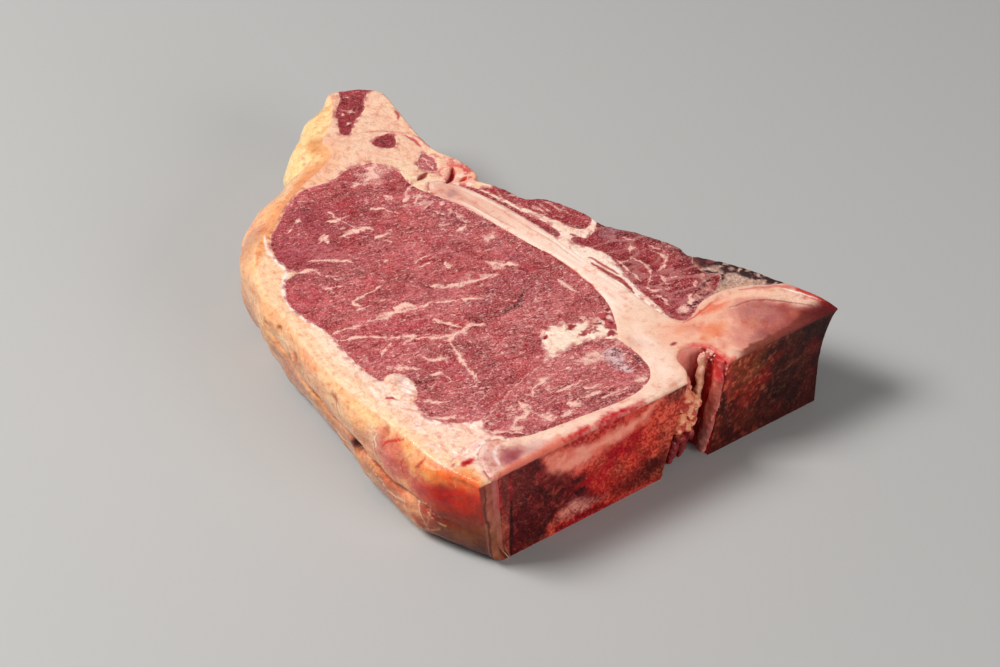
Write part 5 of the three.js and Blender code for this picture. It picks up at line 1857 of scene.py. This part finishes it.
def lean_material(name, web_size, web_amount, web_low):
    """Raw lean: grained, flecked and webbed with fat, with the drawn marbling on top."""
    graph = Graph(name)
    tint = graph.attribute("tint", "Color")
    fleck = graph.attribute("fleck")
    marble = graph.attribute("marble")
    gloss = graph.attribute("gloss")
    grain = graph.along_grain(2.0)
    wander = graph.warped(2.2, 0.7, grain)
    fine = graph.noise(0.6, 3, 0.65)
    bundles = graph.noise(1.3, 3, 0.65, wander)
    broad = graph.noise(5.0, 4, 0.65, grain)
    colour = graph.mix(graph.rise(bundles, 0.42, 0.68), tint, "c0868c", "MULTIPLY")
    colour = mottled(graph, colour, graph.rise(fine, 0.3, 0.68), 0.84, 1.22)
    colour = graph.mix(graph.rise(broad, 0.44, 0.66), colour, "d0a0a4", "MULTIPLY")
    light = graph.rise(graph.plus(fine, fleck, 0.12), 0.52, 0.7)
    colour = graph.mix(light, colour, "e09c98", share=0.5)
    web = graph.math("SUBTRACT", 1.0, graph.rise(graph.cells(web_size, wander), 0.02, 0.15))
    gate = graph.rise(graph.plus(broad, fleck, 0.3), web_low, web_low + 0.3)
    colour = graph.mix(graph.math("MULTIPLY", web, gate), colour, "d8948e", share=web_amount)
    specks = graph.rise(graph.plus(graph.noise(0.9, 3, 0.65, wander), fleck, 0.12), 0.62, 0.72)
    colour = graph.mix(specks, colour, "f2c0b8", share=0.7)
    rag = graph.math("MULTIPLY", graph.uneven(1.7, 4, 0.7, grain), 2.0)
    rag = graph.plus(rag, graph.uneven(0.6, 3, 0.65), 1.5)
    field = graph.plus(marble, rag, graph.rise(marble, 0.02, 0.35))
    colour = graph.mix(graph.rise(field, 0.05, 0.6), colour, "d48482", share=0.55)
    lines = graph.rise(field, 0.38, 1.05)
    colour = graph.mix(lines, colour, "f6c4b4", share=0.92)
    rough = graph.plus(graph.span(fine, 0.55, 0.25), gloss, -0.1)
    height = graph.plus(graph.plus(fine, bundles, -0.7), lines, 0.35)
    return graph.finish(colour, rough, graph.bump(height, 0.8, 0.36), {
        "Coat Weight": 0.12, "Coat Roughness": 0.12, "Specular IOR Level": 0.25,
        "Subsurface Weight": 0.12, "Subsurface Radius": (1.0, 0.25, 0.2),
        "Subsurface Scale": 0.35 * MM,
    })


def fat_material():
    """Waxy fat with soft clouds, faint veins, pores and blood spots."""
    graph = Graph("beef fat")
    tint = graph.attribute("tint", "Color")
    pore = graph.attribute("pore")
    fleck = graph.attribute("fleck")
    gloss = graph.attribute("gloss")
    fine = graph.noise(0.6, 3, 0.65)
    soft = graph.noise(2.6, 4, 0.65, graph.warped(5.0, 1.5))
    veins = graph.math("ABSOLUTE", graph.uneven(2.4, 3, 0.6, graph.warped(4.0, 2.0)))
    veins = graph.rise(veins, 0.05, 0.0)
    colour = mottled(graph, tint, graph.rise(soft, 0.36, 0.66), 0.94, 1.08)
    colour = graph.mix(graph.rise(soft, 0.5, 0.32), colour, "fce0d4", "MULTIPLY")
    colour = graph.mix(veins, colour, "f2c0b0", "MULTIPLY", 0.2)
    dots = graph.rise(graph.plus(graph.noise(1.2, 3, 0.6), pore, 0.2), 0.72, 0.8)
    colour = graph.mix(dots, colour, "b85a58", share=0.7)
    blood = graph.rise(graph.math("ADD", fleck, graph.uneven(1.3, 3, 0.65)), 0.42, 0.7)
    colour = graph.mix(blood, colour, "b04448", share=0.85)
    rough = graph.plus(graph.span(fine, 0.5, 0.3), gloss, -0.16)
    height = graph.plus(graph.math("MULTIPLY", fine, 0.5), soft, 1.6)
    height = graph.plus(height, veins, -0.12)
    graph.put(graph.shader.inputs["Coat Weight"], graph.span(gloss, 0.0, 0.4))
    return graph.finish(colour, rough, graph.bump(height, 0.8, 0.5), {
        "Coat Roughness": 0.08, "Specular IOR Level": 0.22, "Subsurface Weight": 0.2,
        "Subsurface Radius": (1.0, 0.4, 0.2), "Subsurface Scale": 0.9 * MM,
    })


def bone_material():
    """Sawn bone with dark and pale marrow holes and blood in them."""
    graph = Graph("sawn bone")
    tint = graph.attribute("tint", "Color")
    pore = graph.attribute("pore")
    fleck = graph.attribute("fleck")
    gloss = graph.attribute("gloss")
    fine = graph.noise(0.45, 3, 0.65)
    wander = graph.warped(1.8, 0.7)
    mesh = graph.noise(1.0, 4, 0.75, wander)
    clumps = graph.noise(3.4, 3, 0.6, wander)
    soft = graph.noise(3.6, 4, 0.65, graph.warped(5.0, 1.5))
    colour = mottled(graph, tint, graph.rise(soft, 0.5, 0.34), 1.0, 1.06)
    colour = graph.mix(graph.rise(fine, 0.45, 0.75), colour, "fae8e2", "MULTIPLY")
    colour = graph.mix(graph.rise(soft, 0.52, 0.72), colour, "f6d0c4", "MULTIPLY")
    holes = graph.plus(mesh, clumps, 0.4)
    dark = graph.math("MULTIPLY", graph.rise(holes, 0.72, 0.6), graph.rise(pore, 0.0, 0.8))
    deep = graph.mix(1.0, colour, "b0485c", "MULTIPLY")
    colour = graph.mix(dark, colour, deep, share=0.9)
    light = graph.math("MULTIPLY", graph.rise(holes, 0.74, 0.9), graph.rise(pore, 0.1, 0.9))
    pale = graph.mix(0.45, colour, "f0a880")
    colour = graph.mix(light, colour, pale, share=0.6)
    blood = graph.math("ADD", fleck, graph.uneven(1.8, 5, 0.7, wander))
    blood = graph.rise(blood, 0.12, 0.75)
    colour = graph.mix(blood, colour, "b40a1c")
    rough = graph.plus(graph.span(fine, 0.58, 0.34), gloss, -0.15)
    height = graph.plus(graph.math("MULTIPLY", fine, 0.4), dark, -1.0)
    height = graph.plus(height, blood, -0.3)
    return graph.finish(colour, rough, graph.bump(height, 0.8, 0.4), {
        "Coat Weight": 0.06, "Coat Roughness": 0.12, "Specular IOR Level": 0.12,
        "Subsurface Weight": 0.12, "Subsurface Radius": (1.0, 0.4, 0.25),
        "Subsurface Scale": 0.5 * MM,
    })


def sinew_material():
    """Moist, pearly sinew with blood spots."""
    graph = Graph("pearly sinew")
    tint = graph.attribute("tint", "Color")
    fleck = graph.attribute("fleck")
    fine = graph.noise(0.7, 3, 0.6)
    soft = graph.noise(2.6, 4, 0.6)
    colour = mottled(graph, tint, graph.rise(soft, 0.45, 0.66), 1.0, 1.08)
    colour = graph.mix(graph.rise(fine, 0.45, 0.7), colour, "f4d4cc", "MULTIPLY")
    colour = graph.mix(graph.rise(soft, 0.5, 0.34), colour, "f4d0c8", "MULTIPLY")
    blood = graph.rise(graph.math("ADD", fleck, graph.uneven(1.4, 3, 0.65)), 0.42, 0.65)
    colour = graph.mix(blood, colour, "b01820", share=0.8)
    normal = graph.bump(graph.math("ADD", fine, soft), 0.45, 0.3)
    return graph.finish(colour, graph.span(fine, 0.42, 0.25), normal, {
        "Coat Weight": 0.2, "Coat Roughness": 0.12, "Specular IOR Level": 0.4,
        "Subsurface Weight": 0.15, "Subsurface Radius": (1.0, 0.4, 0.3),
        "Subsurface Scale": 0.7 * MM,
    })


def dried_material():
    """Dry, crumbly fat."""
    graph = Graph("dried fat")
    tint = graph.attribute("tint", "Color")
    fine = graph.noise(0.8, 4, 0.65)
    soft = graph.noise(2.6, 4, 0.65)
    colour = mottled(graph, tint, graph.rise(fine, 0.34, 0.66), 1.12, 0.66)
    colour = mottled(graph, colour, graph.rise(soft, 0.36, 0.66), 0.8, 1.15)
    normal = graph.bump(graph.plus(fine, soft, 2.0), 0.9, 0.6)
    return graph.finish(colour, graph.span(fine, 0.8, 0.5), normal, {
        "Coat Weight": 0.0, "Coat Roughness": 0.3, "Specular IOR Level": 0.3,
        "Subsurface Weight": 0.05, "Subsurface Radius": (1.0, 0.5, 0.4),
        "Subsurface Scale": 0.5 * MM,
    })


MATERIALS = {"lean": lean_material("raw lean", 2.8, 0.2, 0.5), "fat": fat_material(),
             "bone": bone_material(), "sinew": sinew_material(), "dried_fat": dried_material()}
TENDERLOIN_MATERIAL = lean_material("raw tenderloin", 6.0, 0.42, 0.3)

# ----------------------------------------------------------------------------------------------
# Pieces
# ----------------------------------------------------------------------------------------------

SHIFT = np.array([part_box("t_bone")[1].x - BONE_LENGTH * MM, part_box("t_bone")[0].y, 0.0])
SHARP_ANGLE = math.radians(55)


def make_piece(node, slot, triangles, layers):
    """One closed mesh that stands for a CAD node, with its colours and masks."""
    name = node + "_look"
    places = layers.place
    mesh = bpy.data.meshes.new(name)
    mesh.vertices.add(len(places))
    mesh.vertices.foreach_set("co", (places * MM + SHIFT).astype(np.float32).ravel())
    mesh.loops.add(len(triangles) * 3)
    mesh.loops.foreach_set("vertex_index", triangles.astype(np.int32).ravel())
    mesh.polygons.add(len(triangles))
    mesh.polygons.foreach_set("loop_start", np.arange(0, len(triangles) * 3, 3, dtype=np.int32))
    mesh.polygons.foreach_set("use_smooth", np.ones(len(triangles), bool))
    mesh.update(calc_edges=True)
    mesh.validate()
    mesh.set_sharp_from_angle(angle=SHARP_ANGLE)
    tint = mesh.attributes.new("tint", "FLOAT_COLOR", "POINT")
    tint.data.foreach_set("color", np.column_stack([layers.colour, np.ones(len(places))])
                          .astype(np.float32).ravel())
    for mask in ("marble", "fleck", "pore", "gloss"):
        layer = mesh.attributes.new(mask, "FLOAT", "POINT")
        layer.data.foreach_set("value", getattr(layers, mask).astype(np.float32))
    mesh.materials.append(TENDERLOIN_MATERIAL if node == "tenderloin" else MATERIALS[slot])
    piece = bpy.data.objects.new(name, mesh)
    bpy.context.scene.collection.objects.link(piece)
    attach(piece, "root")
    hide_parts(node)
    print(name, len(triangles), "triangles")


for number, (name, slot) in enumerate(zip(NAMES, SLOTS)):
    upper = top_faces[top_labels == number]
    lower = floor_faces[floor_labels == number][:, ::-1] + floor_start
    walls = walls_below(tissue_edges[number])
    rows, triangles = renumbered(np.concatenate([upper, lower, walls]))
    painter, base = PAINTERS[slot]
    paint = Paint(rows, base)
    painter(paint, name)
    make_piece(name, slot, triangles, paint)

# ----------------------------------------------------------------------------------------------
# What sits in the spinal canal
# ----------------------------------------------------------------------------------------------


def below(x, y, depth):
    """A drawing point carried down to a depth."""
    plan = np.array([[x, y]], float)
    shift = slant_at(plan)[0]
    return np.array([x + depth * shift[0], y + depth * shift[1], THICKNESS * (1 - depth)])


def strand(path, across, thick, turns, seed, rings=90, around=20):
    """A closed, flattened, slightly twisted strand along a path of [x, y, depth] points."""
    curve = spline(np.array([below(*p) for p in path]), False, 0.1)
    curve = curve[np.linspace(0, len(curve) - 1, rings).astype(int)]
    share = np.arange(rings)[:, None] / (rings - 1)
    swell = taper(share, 0.03, 0.14)
    angles = np.linspace(0, 2 * math.pi, around, endpoint=False)
    twist = turns[0] + (turns[1] - turns[0]) * share
    x, y = turned(across * swell * np.cos(angles), thick * swell * np.sin(angles), twist)
    out = np.stack([x, y, np.zeros_like(x)], axis=2).reshape(-1, 3)
    places = np.repeat(curve, around, axis=0) + out
    out /= np.linalg.norm(out, axis=1)[:, None]
    uneven = 0.55 * noise(places, 3.2, seed, 3) + 0.25 * noise(places, 1.1, seed + 40, 2)
    places += out * uneven[:, None]
    triangles = []
    for ring in range(rings - 1):
        for i in range(around):
            a = ring * around + i
            b = ring * around + (i + 1) % around
            triangles += [(a, b, b + around), (a, b + around, a + around)]
    last = (rings - 1) * around
    for i in range(1, around - 1):
        triangles += [(0, i + 1, i), (last, last + i, last + i + 1)]
    return places, np.array(triangles)[:, ::-1]


def ball(centre, radius, seed, rings=36, around=48):
    """A closed lump."""
    polar = np.linspace(0, math.pi, rings)[1:-1]
    angles = np.linspace(0, 2 * math.pi, around, endpoint=False)
    unit = [np.column_stack([math.sin(p) * np.cos(angles), math.sin(p) * np.sin(angles),
                             np.full(around, math.cos(p))]) for p in polar]
    unit = np.vstack([[[0, 0, 1]], *unit, [[0, 0, -1]]])
    places = np.array(centre) + unit * radius
    places += unit * (0.28 * radius * noise(places, radius * 1.1, seed, 2))[:, None]
    triangles = []
    last = len(places) - 1
    bottom_ring = last - around
    for i in range(around):
        j = (i + 1) % around
        triangles += [(0, 1 + i, 1 + j), (last, bottom_ring + j, bottom_ring + i)]
        for ring in range(rings - 3):
            a = 1 + ring * around + i
            b = 1 + ring * around + j
            triangles += [(a, a + around, b + around), (a, b + around, b)]
    return places, np.array(triangles)


def joined(parts):
    """Several meshes' places and triangles as one mesh."""
    places = np.vstack([p for p, _ in parts])
    offsets = np.cumsum([0] + [len(p) for p, _ in parts])
    triangles = np.vstack([t + offset for (_, t), offset in zip(parts, offsets)])
    return places, triangles


LUMP_SEED = 120
GLINT_SEED = 150
SHRED_SEED = 170
# Lumps of fat: [x, y, depth, radius].
CANAL_LUMPS = [
    [77.6, 7.4, 0.2, 1.6], [76.4, 5.6, 0.25, 1.9], [78.8, 7.0, 0.28, 1.7], [77.2, 4.8, 0.33, 2.4],
    [79.6, 6.4, 0.36, 2.0], [75.6, 3.6, 0.38, 1.8], [80.9, 5.0, 0.42, 2.3], [78.4, 4.4, 0.43, 2.3],
    [82.2, 6.0, 0.46, 1.5], [75.9, 3.6, 0.5, 2.3], [79.8, 4.4, 0.52, 2.0], [78.2, 5.4, 0.56, 2.3],
    [80.9, 4.4, 0.6, 2.0], [75.8, 3.2, 0.6, 1.9], [78.6, 3.6, 0.63, 2.2], [76.8, 3.0, 0.7, 1.9],
    [80.4, 3.4, 0.71, 1.9], [78.4, 3.6, 0.74, 1.7],
]
# Dark shreds below them, as [x, y, depth] paths.
CANAL_SHREDS = [
    [[77.4, 4.6, 0.68], [76.8, 4.6, 0.84], [76.6, 4.8, 0.98]],
    [[80.6, 4.8, 0.68], [80.4, 5.0, 0.84], [80.2, 5.4, 0.98]],
    [[79.0, 5.6, 0.66], [78.6, 6.0, 0.84], [78.4, 6.4, 0.98]],
]
lumps = [ball(below(*place), radius, LUMP_SEED + i)
         for i, (*place, radius) in enumerate(CANAL_LUMPS)]
shreds = [strand(path, 2.4, 1.7, (0.2, 0.9), SHRED_SEED + i, 40)
          for i, path in enumerate(CANAL_SHREDS)]
places, triangles = joined(lumps + shreds)
layers = Layers(places, "f0a078")
layers.mottles(1, [[4, 131, 0, 0.7, 0.6, "f8ccac"], [2.6, 132, 0.05, 0.45, 0.85, "b8362e"]])
# Painted shade on what lies deep in the canal; the upper lumps are redder.
layers.rises(1, layers.height, [[15, 11, 0.9, "78101a"], [27, 30, 0.7, "c86458"]])
make_piece("canal_fat", "fat", triangles, layers)

# Small pale lumps that stand for wet glints on the sheath, painted highlights: [x, y, depth, radius].
GLINTS = [
    [86.0, 8.6, 0.03, 0.5], [86.7, 7.4, 0.035, 0.6], [87.2, 6.2, 0.04, 0.45], [85.2, 9.4, 0.04, 0.5],
    [87.4, 5.0, 0.05, 0.5], [86.4, 8.2, 0.08, 0.4], [86.9, 6.8, 0.09, 0.4],
]
SHEATH_PATH = [[84.4, 9.2, 0.05], [84.6, 8.2, 0.22], [84.2, 7.2, 0.4], [83.4, 6.4, 0.52],
               [83.2, 6.0, 0.7], [83.8, 5.8, 0.86]]
glints = [ball(below(*place), radius, GLINT_SEED + i, 16, 22)
          for i, (*place, radius) in enumerate(GLINTS)]
places, triangles = joined([strand(SHEATH_PATH, 2.1, 1.3, (0.5, 0.9), 133), *glints])
layers = Layers(places, "d09a7c")
layers.mottles(1, [[3, 134, 0, 0.7, 0.5, "c47c6c"], [1.6, 138, 0.1, 0.5, 0.5, "f4dccc"]])
# Painted highlight on the tops of the glints and the sheath, and painted shade deep in the canal.
layers.rises(1, layers.height, [[34.6, 35.6, 0.5, "f0ccc6"], [18, 13, 0.85, "64141c"]])
make_piece("canal_sheath", "sinew", triangles, layers)

LIGAMENT_PATH = [[86.9, 3.4, 0.02], [87.3, 2.6, 0.25], [87.2, 2.4, 0.5], [86.8, 2.4, 0.7],
                 [86.4, 2.6, 0.97]]
places, triangles = strand(LIGAMENT_PATH, 1.3, 2.5, (0.0, 0.15), 135)
layers = Layers(places, "b45c50")
layers.rises(1, layers.height, [[27, 33, 0.8, "c8282c"], [16, 8, 0.6, "a4706c"]])
layers.mottles(1, [[3, 136, 0, 0.6, 0.5, "a02830"], [2, 137, 0.15, 0.6, 0.45, "e89c88"]])
make_piece("canal_ligament", "sinew", triangles, layers)

# ----------------------------------------------------------------------------------------------
# Floor, light and camera
# ----------------------------------------------------------------------------------------------

# The floor and the lights, in metres and watts.
FLOOR_SIZE = 3.0
FLOOR_DROP = 0.0001
FLOOR_COLOUR = (0.42, 0.42, 0.42, 1)
FLOOR_ROUGHNESS = 0.85
WORLD_COLOUR = (1.0, 0.99, 0.97, 1)
WORLD_STRENGTH = 0.15
# [name, place, size, power, colour]
LIGHTS = [
    ["key", (-0.7, 0.42, 1.06), 0.5, 20.5, (1.0, 0.98, 0.95)],
    ["fill", (0.25, -1.4, 0.55), 0.8, 11.5, (1.0, 0.97, 0.94)],
]
LENS = 90.0
SENSOR = 36.0
CLIP_START = 0.01
CAMERA_PLACE = (-333.76, -457.515, 568.124)    # in the drawing frame
CAMERA_ELEVATION = math.radians(40)
CAMERA_TURN = math.radians(-35.766)


def make_floor():
    """A pale, matte floor right under the steak."""
    bpy.ops.mesh.primitive_plane_add(size=FLOOR_SIZE, location=(0, 0, -FLOOR_DROP))
    ground = bpy.context.active_object
    ground.name = "floor"
    material = bpy.data.materials.new("pale floor")
    material.use_nodes = True
    shader = material.node_tree.nodes["Principled BSDF"]
    shader.inputs["Base Color"].default_value = FLOOR_COLOUR
    shader.inputs["Roughness"].default_value = FLOOR_ROUGHNESS
    ground.data.materials.append(material)


def make_world():
    """A faint even light from all round."""
    world = bpy.data.worlds.new("studio")
    bpy.context.scene.world = world
    world.use_nodes = True
    background = world.node_tree.nodes["Background"]
    background.inputs["Color"].default_value = WORLD_COLOUR
    background.inputs["Strength"].default_value = WORLD_STRENGTH


def area_light(name, place, size, power, colour):
    """A soft square light, facing the steak."""
    data = bpy.data.lights.new(name, "AREA")
    data.shape = "SQUARE"
    data.size = size
    data.energy = power
    data.color = colour
    light = bpy.data.objects.new(name, data)
    light.location = place
    light.rotation_mode = "QUATERNION"
    light.rotation_quaternion = (-Vector(place)).to_track_quat("-Z", "Y")
    bpy.context.scene.collection.objects.link(light)


def make_camera():
    """The camera, looking down on the sawn corner."""
    data = bpy.data.cameras.new("camera")
    data.lens = LENS
    data.sensor_width = SENSOR
    data.clip_start = CLIP_START
    camera = bpy.data.objects.new("camera", data)
    back = Vector((math.sin(CAMERA_TURN) * math.cos(CAMERA_ELEVATION),
                   -math.cos(CAMERA_TURN) * math.cos(CAMERA_ELEVATION),
                   math.sin(CAMERA_ELEVATION)))
    right = Vector((math.cos(CAMERA_TURN), math.sin(CAMERA_TURN), 0))
    turn = Matrix((right, back.cross(right), back)).transposed()
    place = np.array(CAMERA_PLACE) * MM + SHIFT
    camera.matrix_world = Matrix.Translation(place) @ turn.to_4x4()
    bpy.context.scene.collection.objects.link(camera)
    bpy.context.scene.camera = camera


make_floor()
make_world()
for light in LIGHTS:
    area_light(*light)
make_camera()
bpy.context.scene.view_settings.view_transform = "Standard"
